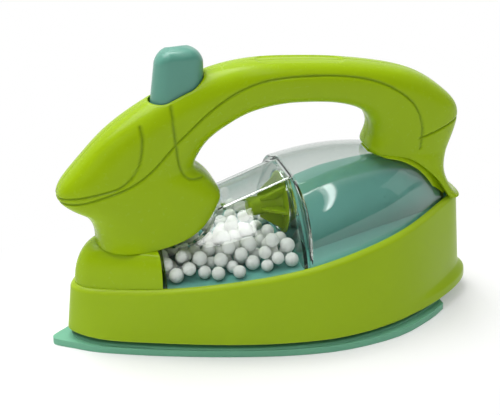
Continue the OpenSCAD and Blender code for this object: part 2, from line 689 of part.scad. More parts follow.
// Pedestal under the handle's foot, from the band's nose back to the tank
pedestal_levels = 6;
pedestal_loop = inset(top_loop, pedestal_in);
pedestal_y = lookup(pedestal_end_x, [for (q = pedestal_loop) if (q[1] >= 0) q]);
pedestal_base = concat([[pedestal_end_x, -pedestal_y]],
    [for (i = [0:len(pedestal_loop) - 1]) let(n = len(pedestal_loop), q = pedestal_loop[(i + n / 2) % n])
        if (q[0] < pedestal_end_x - pedestal_in) q],
    [[pedestal_end_x, pedestal_y]]);
function drawn_in(a, top_share) = 1 - (1 - top_share) * (1 - cos(a));

module front_pedestal() {
    color("yellowgreen") stack([for (k = [0:pedestal_levels]) let(a = 90 * k / pedestal_levels)
        [for (p = pedestal_base) let(u = drawn_in(a, pedestal_top_shares[0]),
                v = drawn_in(a, pedestal_top_shares[1]), x = pedestal_end_x + u * (p[0] - pedestal_end_x))
            [x, v * p[1], (1 - sin(a)) * (edge_z(x) + seat_gap / 4) + sin(a) * pedestal_z]]]);
}

// Stations of the handle in millimetres, from the foot over the grip to the heel
function stations() = let(
        a = [for (r = handle_shares) [along(r[0]), pedestal_z + r[1] * handle_h, along(r[2]),
            pedestal_z + r[3] * handle_h, r[4] * handle_w / 2, r[5], r[6]]],
        b = [for (r = pillar_shares) [along(r[0]), pedestal_z + r[1] * handle_h, along(r[2]),
            crest_z(along(r[2])) + seat_gap, r[3] * handle_w / 2, r[4], r[5]]],
        f = foot_shares,
        lift = seat_gap / 4,
        c = [[along(f[0]), edge_z(along(f[0])) + lift, along(f[1]), edge_z(along(f[1])) + lift,
            f[2] * handle_w / 2, f[3], f[4]]],
        p = concat(a, b, c), n = len(p))
    [for (r = smooth(p, handle_steps, 2 * p[0] - p[1], 2 * p[n - 1] - p[n - 2])) clear_of_cover(r)];
function clear_of_cover(r) = r[2] < step_x || r[2] > dome_x[len(dome_x) - 1] ? r
    : [r[0], r[1], r[2], max(r[3], crest_z(r[2]) + seat_gap), r[4], r[5], r[6]];

// A station drawn in by d on all its sides
function drawn_station(r, d) = let(t = [r[2] - r[0], r[3] - r[1]], k = d / norm(t))
    [r[0] + k * t[0], r[1] + k * t[1], r[2] - k * t[0], r[3] - k * t[1], r[4] - d, r[5], r[6]];
// Half section of the handle at one station
function half_section(r, side) = [for (i = [0:handle_points]) let(a = 180 * i / handle_points,
        e = 2 / (a < 90 ? outer_square : r[6]), c = pow(abs(cos(a)), e),
        t = a < 90 ? r[5] * (1 - c) : r[5] + (1 - r[5]) * c,
        y = i == handle_points ? 0 : r[4] * pow(sin(a), e))
    [r[0] + (r[2] - r[0]) * t, side * y, r[1] + (r[3] - r[1]) * t]];

// The whole handle, both halves, drawn in by d
function full_section(r) = let(far = half_section(r, -1))
    concat(half_section(r, 1), [for (i = [handle_points - 1:-1:1]) far[i]]);
module handle_core(d) {
    stack([for (r = stations()) full_section(drawn_station(r, d))]);
}

module handle_half(side) {
    rings = [for (r = stations()) half_section(r, side)];
    n = len(rings);
    m = len(rings[0]);
    o = (n - 1) * m;
    quads = [for (k = [0:n - 2]) for (i = [0:m - 1])
        let(a = k * m + i, b = k * m + (i + 1) % m, c = a + m, d = b + m)
        each [[a, b, d], [a, d, c]]];
    ends = [for (i = [1:m - 2]) each [[0, i + 1, i], [o, o + i, o + i + 1]]];
    faces = concat(quads, ends);
    polyhedron([for (r = rings) for (p = r) p],
        side > 0 ? faces : [for (f = faces) [f[0], f[2], f[1]]], convexity = 10);
}

// Button in its well, with the switch below it
button_x = along(button_share);
stem_x = button_x - stem_set;
well_z = pedestal_z + handle_h * well_share;
flange_top = well_z - seat_gap / 3;
flange_low = flange_top - flange_t;
board_top = flange_low - spring_l;
switch_top = board_top + switch_h + cap_h;
stem_end = switch_top + button_travel + seat_gap;
pocket_low = flange_low - button_travel - seat_gap;
spring_d = norm([switch_w, switch_w]) + 2 * spring_gap + 2 * spring_wire;
crown_r = (button_l * button_l / 4 + button_crown * button_crown) / (2 * button_crown);

module oval(l, w, h) {
    linear_extrude(h) union() {
        for (s = [-1, 1]) translate([s * (l - w) / 2, 0]) circle(d = w);
        square([l - w, w], center = true);
    }
}

module button_well() {
    rim = 2 * flange_w + 2 * slide_gap;
    translate([button_x, 0, pocket_low])
        oval(button_l + rim, button_w + rim, well_z - pocket_low);
    translate([button_x, 0, well_z - overrun])
        oval(button_l + 2 * slide_gap, button_w + 2 * slide_gap, 2 * button_h);
    translate([stem_x - board_l / 2 - seat_gap, -board_w / 2 - seat_gap, board_top - board_t])
        cube([board_l + 2 * seat_gap, board_w + 2 * seat_gap, pocket_low + overrun - board_top + board_t]);
}

// Places of the handle screws: share along, share of the handle's height
handle_screw_shares = [[0.1, 0.22], [0.15, 0.62], [0.6, 0.87], [0.9, 0.6]];
handle_screw_places = [for (p = handle_screw_shares) [along(p[0]), 0, pedestal_z + p[1] * handle_h]];

module screw_ways(side) {
    depth = handle_screw_l / 2;
    for (p = handle_screw_places) translate(p) rotate([-90, 0, 0]) {
        translate([0, 0, -depth - overrun])
            cylinder(d = handle_screw_d + seat_gap / 3, h = 2 * depth + 2 * overrun);
        if (side > 0) translate([0, 0, depth - head_t])
            cylinder(d = handle_head_d + 2 * seat_gap, h = handle_w);
    }
}

// Line grooves in the sides of the handle: share along the tank, share of the handle's height
long_groove_shares = [[-0.05, 0.3], [0.015, 0.315], [0.062, 0.345], [0.118, 0.385], [0.165, 0.44],
    [0.207, 0.525], [0.241, 0.61], [0.281, 0.695], [0.323, 0.78], [0.377, 0.865], [0.422, 0.91],
    [0.475, 0.937], [0.549, 0.938], [0.623, 0.924], [0.697, 0.893], [0.753, 0.85], [0.802, 0.786],
    [0.843, 0.7], [0.864, 0.61], [0.873, 0.51], [0.871, 0.394]];
beak_groove_shares = [[0.155, 0.83], [0.163, 0.74], [0.166, 0.69], [0.165, 0.63], [0.156, 0.53],
    [0.135, 0.45], [0.106, 0.4], [0.062, 0.373], [0.007, 0.347], [-0.05, 0.325]];
cross_groove_shares = [[0.238, 0.93], [0.238, 0.82], [0.241, 0.71], [0.245, 0.615], [0.25, 0.52],
    [0.258, 0.45], [0.274, 0.4], [0.31, 0.385]];
rear_groove_shares = [[0.868, 0.464], [0.92, 0.497], [0.966, 0.53], [1.01, 0.56]];
groove_shares = [long_groove_shares, beak_groove_shares, cross_groove_shares, rear_groove_shares];
groove_steps = 2;
function groove_line(g) = let(p = [for (r = g) [along(r[0]), pedestal_z + r[1] * handle_h]], n = len(p))
    smooth(p, groove_steps, 2 * p[0] - p[1], 2 * p[n - 1] - p[n - 2]);
function beside(p, d) = [for (i = [0:len(p) - 1])
    let(t = p[min(i + 1, len(p) - 1)] - p[max(i - 1, 0)]) p[i] + d * [t[1], -t[0]] / norm(t)];

// Line grooves in one side of the handle and the thumb recess on its top, cut to one depth
module line_grooves(side) {
    difference() {
        union() {
            for (g = groove_shares) let(p = groove_line(g))
                translate([0, side > 0 ? handle_w : overrun, 0]) rotate([90, 0, 0])
                    linear_extrude(handle_w + overrun)
                        polygon(concat(beside(p, groove_w / 2), reverse(beside(p, -groove_w / 2))));
            translate([along(recess_share), 0, pedestal_z + handle_h * recess_low_share])
                oval(recess_l, recess_w, handle_h);
        }
        handle_core(groove_d);
    }
}

module handle_left() {
    color("yellowgreen") difference() {
        handle_half(-1);
        line_grooves(-1);
        button_well();
        screw_ways(-1);
    }
}

module handle_right() {
    color("yellowgreen") difference() {
        handle_half(1);
        line_grooves(1);
        button_well();
        screw_ways(1);
    }
}

module handle_screws() {
    depth = handle_screw_l / 2;
    color("silver") for (p = handle_screw_places)
        translate(p) translate([0, depth, 0]) rotate([90, 0, 0])
            screw(handle_screw_d, handle_head_d, handle_screw_l, head_t);
}

module button() {
    tall = flange_top + button_h;
    color("cadetblue") union() {
        translate([button_x, 0, flange_low])
            oval(button_l + 2 * flange_w, button_w + 2 * flange_w, flange_t);
        translate([stem_x, 0, stem_end]) cylinder(d = stem_d, h = flange_top - stem_end);
        intersection() {
            hull() {
                translate([button_x, 0, flange_low]) oval(button_l, button_w, flange_t);
                translate([button_x + button_taper / 4, 0, tall - overrun])
                    oval(button_l - button_taper, button_w - button_taper, overrun);
            }
            union() {
                translate([button_x, button_w, tall - crown_r]) rotate([90, 0, 0])
                    cylinder(r = crown_r, h = 2 * button_w);
                translate([button_x - button_l, -button_w, flange_low])
                    cube([2 * button_l, 2 * button_w, tall - button_crown - flange_low]);
            }
        }
    }
}

module button_spring() {
    sides = 6;
    per_turn = 12;
    r = (spring_d - spring_wire) / 2;
    rise = spring_l - spring_wire;
    n = spring_turns * per_turn;
    z0 = board_top + spring_wire / 2;
    rings = [for (k = [0:n]) let(a = 360 * k / per_turn)
        [for (i = [0:sides - 1]) let(b = 360 * i / sides, q = r + cos(b) * spring_wire / 2)
            [stem_x + q * cos(a), q * sin(a), z0 + rise * k / n + sin(b) * spring_wire / 2]]];
    color("silver") stack(rings);
}

module push_switch() {
    cap_d = switch_w / 2;
    color("dimgray") union() {
        translate([stem_x - switch_w / 2, -switch_w / 2, board_top])
            cube([switch_w, switch_w, switch_h]);
        translate([stem_x, 0, board_top]) cylinder(d = cap_d, h = switch_top - board_top);
    }
}

module switch_board() {
    color("darkgreen") translate([stem_x - board_l / 2, -board_w / 2, board_top - board_t])
        cube([board_l, board_w, board_t]);
}

sole_plate();
battery_door();
battery_door_screw();
battery_cells();
battery_contacts();
sole_screws();
base_band();
tank_floor();
tank_cover();
tank_bulkhead();
beads();
motor_hood();
motor_can();
motor_endcap();
motor_cradle();
motor_shaft();
fan();
front_pedestal();
handle_left();
handle_right();
handle_screws();
button();
button_spring();
push_switch();
switch_board();
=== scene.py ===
"""Toy iron: smooth shells, finishes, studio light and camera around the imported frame."""
import json
import bmesh
import bpy
import numpy as np
from mathutils import Matrix, Vector


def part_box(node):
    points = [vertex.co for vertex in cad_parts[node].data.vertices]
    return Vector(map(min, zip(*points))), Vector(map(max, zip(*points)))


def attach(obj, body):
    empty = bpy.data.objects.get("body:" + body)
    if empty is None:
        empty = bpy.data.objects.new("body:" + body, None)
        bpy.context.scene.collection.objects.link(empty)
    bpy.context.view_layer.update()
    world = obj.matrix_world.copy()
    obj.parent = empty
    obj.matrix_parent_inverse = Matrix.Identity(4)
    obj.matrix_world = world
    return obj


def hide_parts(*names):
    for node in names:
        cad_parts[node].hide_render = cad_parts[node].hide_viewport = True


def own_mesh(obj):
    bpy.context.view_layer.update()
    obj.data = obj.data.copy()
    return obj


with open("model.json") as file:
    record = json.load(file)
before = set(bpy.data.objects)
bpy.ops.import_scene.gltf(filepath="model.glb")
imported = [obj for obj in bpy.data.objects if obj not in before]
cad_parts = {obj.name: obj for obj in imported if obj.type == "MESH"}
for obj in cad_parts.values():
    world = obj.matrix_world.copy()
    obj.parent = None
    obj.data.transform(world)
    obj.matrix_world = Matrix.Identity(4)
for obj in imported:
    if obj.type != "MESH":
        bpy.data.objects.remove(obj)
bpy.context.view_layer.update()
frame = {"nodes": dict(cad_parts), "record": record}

# ---- sizes, in millimetres

MM = 0.001


def box_mm(cad_node):
    """Lowest and highest corner of a CAD node, in millimetres."""
    lo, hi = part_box(cad_node)
    return np.array(lo) * 1000, np.array(hi) * 1000


band_lo, band_hi = box_mm("base_band")
pedestal_hi = box_mm("front_pedestal")[1]
cover_hi = box_mm("tank_cover")[1]
hood_lo, hood_hi = box_mm("motor_hood")
fan_lo, fan_hi = box_mm("fan")
button_lo, button_hi = box_mm("button")
board_lo, board_hi = box_mm("switch_board")

seat_gap, slide_gap = 0.3, 0.3
band_w, band_rake, heel_rake, band_flare = 79.6, 2.2, 3.5, 2.8
band_t, shelf_w, nose_h, top_rise = 2.2, 1.6, 20.8, 20.0
lip_out, lip_h = 2.6, 7.0
floor_drop, floor_t, tank_in = 1.6, 2.0, 2.1
cover_t, roof_w, roof_h, roof_fall, wall_bow = 1.6, 20.0, 39.8, 19.0, 1.6
dome_square, hood_square, outer_square = 2.7, 2.4, 2.6
hood_t, hood_under = 1.4, 6.5
pedestal_in = 1.8
handle_h, handle_w = 68.5, 31.0
groove_d = 0.6
recess_l, recess_w, recess_share = 37.0, 9.0, 0.57
step_share, dome_end_share = 0.532, 0.951
# Highest point of the cover: share along the tank, and what the crest table says there
peak_share, peak_crest = 0.7, 0.984
# Points in the plan outline, and in the shoulder and flat half roof of a chamber section
plan_n, bend_n, flat_n = 560, 8, 10

band_x, band_z = band_lo[0], band_lo[2]
band_l = band_hi[0] - band_lo[0] - lip_out
top_x = band_x + band_rake
top_l = band_l - band_rake - heel_rake
top_w = band_w - 2 * band_flare
nose_z = band_z + nose_h
slope = top_rise / top_l
tank_x, tank_l = top_x + tank_in, top_l - tank_in
pedestal_end_x, pedestal_z = pedestal_hi[0], pedestal_hi[2]


def along(share):
    """Place along the tank."""
    return tank_x + np.asarray(share) * tank_l


def edge_z(x):
    """Height of the band's sloping upper edge."""
    return nose_z + slope * (x - top_x)


def floor_z(x):
    """Height of the tank floor."""
    return edge_z(x) - floor_drop


step_x = float(along(step_share))

# Plan outlines: share of the length, share of half the width
band_shares = [[0, 0], [0.01, 0.11], [0.06, 0.32], [0.165, 0.535], [0.28, 0.725], [0.4, 0.885],
               [0.52, 0.985], [0.63, 1], [0.76, 0.875], [0.86, 0.655], [0.94, 0.38],
               [0.985, 0.17], [1, 0]]
top_shares = [[0, 0], [0.01, 0.13], [0.05, 0.3], [0.165, 0.6], [0.28, 0.805], [0.4, 0.94],
              [0.52, 1], [0.63, 0.95], [0.76, 0.79], [0.86, 0.56], [0.94, 0.31], [0.985, 0.15], [1, 0]]
# Crest of the cover's rear dome and of the motor hood
crest_shares = np.array([
    [0.532, 0.958], [0.58, 0.984], [0.64, 1], [0.7, 0.984], [0.745, 0.952], [0.788, 0.901],
    [0.818, 0.843], [0.848, 0.751], [0.873, 0.655], [0.898, 0.521], [0.92, 0.39],
    [0.94, 0.232], [0.951, 0.134]])
hood_shares = np.array([
    [0.541, 0.82, 1], [0.57, 0.867, 0.98], [0.63, 0.96, 0.92], [0.67, 0.99, 0.86], [0.72, 1, 0.79],
    [0.77, 0.985, 0.72], [0.82, 0.91, 0.66], [0.86, 0.775, 0.6], [0.9, 0.545, 0.5], [0.94, 0.2, 0.32]])
# Handle stations: outer line x and z, inner line x and z, half width, widest point, squareness inside
handle_shares = np.array([
    [0.056, 0, 0.183, 0, 1, 0.85, 6], [0.051, 0.102, 0.268, 0.034, 0.96, 0.8, 6],
    [0.03, 0.193, 0.322, 0.115, 0.91, 0.75, 5.5], [-0.001, 0.238, 0.35, 0.209, 0.87, 0.7, 5],
    [-0.027, 0.292, 0.357, 0.272, 0.84, 0.66, 4.4], [-0.033, 0.35, 0.33, 0.375, 0.79, 0.62, 3.6],
    [-0.019, 0.416, 0.303, 0.432, 0.75, 0.58, 3.2], [0.027, 0.54, 0.305, 0.489, 0.73, 0.56, 3],
    [0.088, 0.683, 0.332, 0.584, 0.71, 0.55, 3], [0.192, 0.841, 0.381, 0.668, 0.69, 0.55, 3],
    [0.334, 0.98, 0.445, 0.733, 0.67, 0.55, 3], [0.453, 1.02, 0.515, 0.755, 0.65, 0.55, 3],
    [0.547, 1.008, 0.56, 0.753, 0.64, 0.55, 3], [0.648, 0.98, 0.622, 0.738, 0.64, 0.55, 3],
    [0.756, 0.932, 0.682, 0.704, 0.64, 0.55, 3], [0.87, 0.843, 0.732, 0.634, 0.65, 0.55, 3],
    [0.95, 0.706, 0.751, 0.53, 0.65, 0.55, 3.2], [0.986, 0.57, 0.744, 0.452, 0.64, 0.6, 3.6]])
pillar_shares = np.array([
    [0.97, 0.381, 0.754, 0.63, 0.75, 5], [0.959, 0.298, 0.818, 0.64, 0.8, 6],
    [0.955, 0.226, 0.872, 0.65, 0.8, 6], [0.959, 0.161, 0.912, 0.66, 0.8, 6],
    [0.971, 0.102, 0.936, 0.66, 0.8, 6], [0.985, 0.06, 0.951, 0.66, 0.8, 6]])
foot_shares = [0.997, 0.962, 0.64, 0.7, 5]
# Line grooves in the sides of the handle: share along the tank, share of the handle's height
groove_shares = [
    [[-0.05, 0.3], [0.015, 0.315], [0.062, 0.345], [0.118, 0.385], [0.165, 0.44], [0.207, 0.525],
     [0.241, 0.61],
     [0.281, 0.695], [0.323, 0.78], [0.377, 0.865], [0.422, 0.91], [0.475, 0.937], [0.549, 0.938],
     [0.623, 0.924],
     [0.697, 0.893], [0.753, 0.85], [0.802, 0.786], [0.843, 0.7], [0.864, 0.61], [0.873, 0.51],
     [0.871, 0.394]],
    [[0.163, 0.74], [0.166, 0.69], [0.165, 0.63], [0.156, 0.53], [0.135, 0.45], [0.106, 0.4], [0.062, 0.373],
     [0.007, 0.347], [-0.05, 0.325]],
    [[0.238, 0.84], [0.241, 0.71], [0.245, 0.615], [0.25, 0.52], [0.258, 0.45], [0.274, 0.4], [0.31, 0.385]],
    [[0.868, 0.464], [0.92, 0.497], [0.966, 0.53], [1.01, 0.56]]]
handle_screw_shares = [[0.1, 0.22], [0.15, 0.62], [0.6, 0.87], [0.9, 0.6]]

# ---- curves


def cubic(t, p, q, closed=False):
    """Cubic curve through the rows p at the parameters t, read at q: the second derivatives come from the
    usual three-term equations, with free ends or as a closed loop (last row equal to the first)."""
    t, p = np.asarray(t, float), np.asarray(p, float)
    h, n = np.diff(t), len(t)
    rise = np.diff(p, axis=0) / h[:, None]
    if closed:
        m = n - 1
        i = np.arange(m)
        a = np.zeros((m, m))
        a[i, i] += 2 * (h[i - 1] + h[i])
        a[i, (i + 1) % m] += h[i]
        a[i, i - 1] += h[i - 1]
        bend = np.linalg.solve(a, 6 * (rise[i] - rise[i - 1]))
        bend = np.vstack([bend, bend[:1]])
    else:
        i = np.arange(1, n - 1)
        a, r = np.eye(n), np.zeros_like(p)
        a[i, i], a[i, i - 1], a[i, i + 1] = 2 * (h[i - 1] + h[i]), h[i - 1], h[i]
        r[i] = 6 * (rise[i] - rise[i - 1])
        bend = np.linalg.solve(a, r)
    k = np.clip(np.searchsorted(t, q, side="right") - 1, 0, n - 2)
    u, w, g = (q - t[k])[:, None], (t[k + 1] - q)[:, None], h[k][:, None]
    return (bend[k] * w ** 3 + bend[k + 1] * u ** 3) / (6 * g) \
        + (p[k] / g - bend[k] * g / 6) * w + (p[k + 1] / g - bend[k + 1] * g / 6) * u


def smooth_line(rows, count, closed=False, by=2):
    """Smooth line through rows; the parameter is the root of the chord over the first columns."""
    p = np.asarray(rows, float)
    if closed:
        p = np.vstack([p, p[:1]])
    t = np.concatenate([[0], np.cumsum(np.sqrt(np.linalg.norm(np.diff(p[:, :by], axis=0), axis=1)))])
    return cubic(t, p, np.linspace(0, t[-1], count, endpoint=not closed), closed)


def value_at(table, x):
    """Smooth value of a two-column table at x, kept inside the table's ends."""
    x = np.clip(np.asarray(x, float), table[0][0], table[-1][0])
    return cubic(table[:, 0], table[:, 1:2], x.ravel())[:, 0].reshape(x.shape)


def step_up(a, b, x):
    """0 below a, 1 above b, with a soft S between."""
    u = np.clip((x - a) / (b - a), 0, 1)
    return u * u * (3 - 2 * u)


def inward(loop):
    """Unit normals that point into a closed plan outline."""
    t = np.roll(loop, -1, 0) - np.roll(loop, 1, 0)
    return np.stack([t[:, 1], -t[:, 0]], 1) / np.linalg.norm(t, axis=1)[:, None]


def both_sides(half):
    """Closed outline from its half on the +Y side."""
    half = np.asarray(half, float)
    flip = np.ones(half.shape[1])
    flip[1::2] = -1
    return np.vstack([half, half[-2:0:-1] * flip])


b_half = np.array(band_shares) * [band_l, band_w / 2] + [band_x, 0]
t_half = np.array(top_shares) * [top_l, top_w / 2] + [top_x, 0]
loops = smooth_line(both_sides(np.hstack([b_half, t_half])), plan_n, closed=True)
band_loop, top_loop = loops[:, :2], loops[:, 2:]
rim_loop = top_loop + (band_t + seat_gap) * inward(top_loop)
rim_half = rim_loop[: len(rim_loop) // 2 + 1]


def cover_y(x):
    """Half width of the cover, inside the band's rim."""
    return np.interp(x, rim_half[:, 0], rim_half[:, 1])


dome_rise = float(cover_hi[2] - floor_z(along(peak_share))) / peak_crest
hood_rise = dome_rise - hood_under


def crest_z(x):
    """Height of the dome's crest."""
    return floor_z(x) + dome_rise * value_at(crest_shares, (x - tank_x) / tank_l)


def roof_z(x):
    """Height of the bead chamber's sloping roof."""
    return nose_z + roof_h - roof_fall * (step_x - x) / (step_x - pedestal_end_x)


# ---- meshes


def add_object(name, data):
    """New object in the scene."""
    ob = bpy.data.objects.new(name, data)
    bpy.context.scene.collection.objects.link(ob)
    return ob


def volume(points, faces):
    """Six times the signed volume in closed faces: corner dot corner cross corner, over all triangles."""
    tri = np.array([(f[0], f[k], f[k + 1]) for f in faces for k in range(1, len(f) - 1)])
    return np.einsum("ij,ij->", points[tri[:, 0]], np.cross(points[tri[:, 1]], points[tri[:, 2]]))


def make_piece(name, verts, faces, sharp=40):
    """Mesh object from points in millimetres; faces are turned outwards by the sign of the volume."""
    me = bpy.data.meshes.new(name)
    v = np.asarray(verts, float) * MM
    me.from_pydata(v.tolist(), [], [list(f) for f in faces])
    if volume(v, faces) < 0:
        me.flip_normals()
    finish_mesh(me, sharp)
    return add_object(name, me)


def finish_mesh(me, sharp):
    """Smooth shading, with hard edges where faces meet at more than the angle."""
    me.update()
    me.shade_smooth()
    me.set_sharp_from_angle(angle=np.radians(sharp))


def ring_faces(n, m, loop=False):
    """Quads of n rings of m points each; loop also joins the last ring to the first."""
    k, i = np.meshgrid(np.arange(n if loop else n - 1), np.arange(m), indexing="ij")
    a, b = k * m + i, k * m + (i + 1) % m
    k2 = (k + 1) % n
    return np.stack([a, b, k2 * m + (i + 1) % m, k2 * m + i], -1).reshape(-1, 4).tolist()


def skin(name, rings, loop=False, caps="flat", sharp=40):
    """Closed piece from rings of points: rings joined by quads, ends closed by one face each, or by strips
    between the two halves of a ring that runs out along one side and back along the other."""
    rings = np.asarray(rings, float)
    n, m = rings.shape[:2]
    faces = ring_faces(n, m, loop)
    o = (n - 1) * m
    if not loop and caps == "flat":
        faces += [list(range(m))[::-1], list(range(o, o + m))]
    elif not loop:
        i = np.arange(m // 2 - 1)
        faces += np.stack([i + 1, i, m - 1 - i, m - 2 - i], 1).tolist()
        faces += (np.stack([i, i + 1, m - 2 - i, m - 1 - i], 1) + o).tolist()
    return make_piece(name, rings.reshape(-1, 3), faces, sharp)


def apply_modifiers(ob):
    """Replaces a piece's mesh by its shape with the modifiers."""
    shape = bpy.data.meshes.new_from_object(ob.evaluated_get(bpy.context.evaluated_depsgraph_get()))
    ob.modifiers.clear()
    old, ob.data = ob.data, shape
    bpy.data.meshes.remove(old)
    shape.name = ob.name


def cut(piece, tool, sharp):
    """Takes the tool's solid away from the piece and removes the tool."""
    mod = piece.modifiers.new("cut", "BOOLEAN")
    mod.operation, mod.object, mod.solver = "DIFFERENCE", tool, "MANIFOLD"
    apply_modifiers(piece)
    bpy.data.objects.remove(tool)
    finish_mesh(piece.data, sharp)


def round_angles(count):
    """Equal angles round a circle."""
    return np.linspace(0, 2 * np.pi, count, endpoint=False)


def stadium(l, w):
    """Outline with straight sides and round ends, l long and w wide."""
    a = round_angles(96)
    return np.stack([np.cos(a) * w / 2 + np.sign(np.cos(a)) * (l - w) / 2, np.sin(a) * w / 2], 1)


def rectangle(lo, hi):
    """Outline of a rectangle between two corners."""
    return np.array([[lo[0], lo[1]], [hi[0], lo[1]], [hi[0], hi[1]], [lo[0], hi[1]]])


def level(outline, z):
    """Ring of points: a plan outline at the height z, which is one number or one per point."""
    return np.column_stack([outline, np.broadcast_to(z, len(outline))])


def prism(outline, z0, z1):
    """Upright cutting tool over a plan outline."""
    return skin("tool", [level(outline, z) for z in (z0, z1)])


def side_prism(outline, y0, y1):
    """Cutting tool across the iron, over an outline of x and z."""
    return skin("tool", [level(outline, y)[:, [0, 2, 1]] for y in (y0, y1)])


def points_mm(ob):
    """All vertices of a piece, in millimetres."""
    co = np.empty(len(ob.data.vertices) * 3, np.float32)
    ob.data.vertices.foreach_get("co", co)
    return co.reshape(-1, 3).astype(float) * 1000


def give(ob, name, values):
    """Stores one number per vertex, for the material to read."""
    at = ob.data.attributes.new(name, "FLOAT", "POINT")
    at.data.foreach_set("value", np.asarray(values, np.float32))


# ---- base band


def base_shell():
    """Band of the base: at each place of the plan the wall leans from the lower to the upper outline; the
    profile runs up the outside with a rounded foot, a heel rest and a rounded rim, and down the inside."""
    foot_r, rim_in, rim_drop = 0.9, 0.85 * band_t, 2.0
    nb, nt = inward(band_loop), inward(top_loop)
    zt = edge_z(top_loop[:, 0])
    lip = lip_out * step_up(0.8, 1.0, (band_loop[:, 0] - tank_x) / tank_l)

    def at(z, d):
        """Outline at the height z, d inside the leaning wall: a straight mix of the two outlines."""
        u = ((z - band_z) / (zt - band_z))[:, None]
        d = np.asarray(d)[..., None]
        return (1 - u) * (band_loop + d * nb) + u * (top_loop + d * nt)

    def under_rim(drop, d):
        """Ring that lies a drop below the sloping rim, d inside the wall."""
        p = at(zt - drop, d)
        return level(p, edge_z(p[:, 0]) - drop)

    rings = []
    for a in np.radians([0, 22, 45, 68]):
        z = band_z + foot_r * (1 - np.cos(a))
        rings.append(level(at(z, foot_r * (1 - np.sin(a)) - lip), z))
    for h in np.linspace(foot_r, lip_h, 14):
        rings.append(level(at(band_z + h, -lip * (1 - step_up(lip_h * 0.45, lip_h, h))), band_z + h))
    for s in np.linspace(0, 1, 14)[1:]:
        z = band_z + lip_h + s * (zt - rim_drop - band_z - lip_h)
        rings.append(level(at(z, 0), z))
    for a in np.radians(np.linspace(10, 90, 9)):
        rings.append(under_rim(rim_drop * (1 - np.sin(a)), rim_in * (1 - np.cos(a))))
    shelf = floor_drop + floor_t + seat_gap / 4
    for d, drop in ((band_t, 0), (band_t, shelf), (band_t + shelf_w, shelf), (band_t, shelf + shelf_w)):
        rings.append(under_rim(drop, d))
    rings.append(level(at(band_z, band_t), band_z))
    ob = skin("base_shell", np.stack(rings, 1), loop=True, sharp=35)
    # Painted highlight: a band along the rounded rim and along the foot is marked, and the band's finish draws
    # it paler
    p = points_mm(ob)
    rim = edge_z(p[:, 0]) - p[:, 2]
    give(ob, "edge", np.maximum(np.exp(-((rim - 0.5) / 0.8) ** 2), np.exp(-((p[:, 2] - band_z) / 0.6) ** 2)))
    return ob


# ---- clear cover and hood


def wall_section(x, d, count, fillet):
    """Half section of the bead chamber at x, drawn in by d: a wall that bows in as a power of its height, a
    rounded shoulder and a flat roof. Rows of y and z from the floor to the crest."""
    y, roof = cover_y(x) - d, (roof_w - d) / 2
    z0, z1 = floor_z(x), roof_z(x) - d
    lean = np.hypot((y - roof) * wall_bow, z1 - z0)
    q = np.linspace(0, 1 - fillet / lean, count)
    wall = np.column_stack([y - (y - roof) * q ** wall_bow, z0 + (z1 - z0) * q])
    a, c, b = wall[-1], np.array([roof, z1]), np.array([roof - fillet, z1])
    u = np.linspace(0, 1, bend_n + 1)[1:, None]
    bend = (1 - u) ** 2 * a + 2 * u * (1 - u) * c + u * u * b
    flat = np.column_stack([np.linspace(roof - fillet, 0, flat_n + 1)[1:], np.full(flat_n, z1)])
    return np.vstack([wall, bend, flat])


def round_section(y, z0, z1, square, count):
    """Half section of a dome: a superellipse of that squareness, y wide, from z0 up to z1."""
    a = np.linspace(0, np.pi / 2, count)
    r = (np.abs(np.cos(a)) ** square + np.abs(np.sin(a)) ** square) ** (-1 / square)
    return np.column_stack([y * r * np.cos(a), z0 + (z1 - z0) * r * np.sin(a)])


def whole(x, half):
    """Arch at x from its half section: -Y foot, crest, +Y foot."""
    near = np.column_stack([np.full(len(half), x), -half[:, 0], half[:, 1]])
    return np.vstack([near, near[-2::-1] * [1, -1, 1]])


def shell_ring(inner, outer):
    """Closed section of a shell: up the inner arch and back along the outer one."""
    return np.vstack([inner, outer[::-1]])


def clear_shell():
    """Clear cover: an outer and an inner arch in every cross section, joined at the feet; sections follow the
    chamber to the step, climb the step with a rounded edge, and follow the dome to the heel."""
    wall_n, f_out, f_in, sharp = 30, 0.5, 0.2, 35
    lip_t, lip_l, thin_from, step_r, far = 2.6, 1.6, 1.8, 0.8, 60.0
    n = wall_n + bend_n + flat_n
    front, dome_start = pedestal_end_x + seat_gap, step_x + cover_t
    dome_end = float(along(dome_end_share))

    def wall(x, d):
        """Arch of the chamber at x, drawn in by d."""
        return whole(x, wall_section(x, d, wall_n, f_in if d else f_out))

    def dome(x, d):
        """Arch of the dome at x, drawn in by d."""
        return whole(x, round_section(cover_y(x) - d, floor_z(x), crest_z(x) - d, dome_square, n))

    rings = [shell_ring(wall(x, lip_t), wall(x, 0)) for x in (front, front + lip_l)]
    rings += [shell_ring(wall(x, cover_t), wall(x, 0)) for x in np.linspace(front + thin_from, step_x, 46)]
    for a in np.radians([0, 30, 60, 90]):
        inside = wall(step_x + cover_t * (0.2 + 0.65 * a / (np.pi / 2)), cover_t)
        rings.append(shell_ring(inside, dome(step_x + step_r * (1 - np.cos(a)), step_r * (1 - np.sin(a)))))
    for x in np.concatenate([[dome_start], np.linspace(dome_start + 0.8, dome_end, 70)]):
        rings.append(shell_ring(dome(x, cover_t), dome(x, 0)))
    ob = skin("clear_shell", rings, caps="strips", sharp=sharp)
    line, over, before = foot_line(), pedestal_z + far, pedestal_end_x - far
    shape = np.vstack([line + [seat_gap, -seat_gap], [[line[-1][0], over]], [[before, over]],
                       [[before, pedestal_z - seat_gap]]])
    cut(ob, side_prism(shape, -far, far), sharp)
    p = points_mm(ob)
    # Painted shade: the shoulder and the front lip are marked, and the clear finish draws them darker
    outside = (np.abs(p[:, 1]) > roof_w / 2 - f_out) & (p[:, 0] < step_x + 0.2)
    shoulder = outside * (1 - step_up(1.2, 2.0, roof_z(p[:, 0]) - p[:, 2]))
    give(ob, "edge", np.maximum(shoulder, p[:, 0] < front + (lip_l + thin_from) / 2))
    return ob


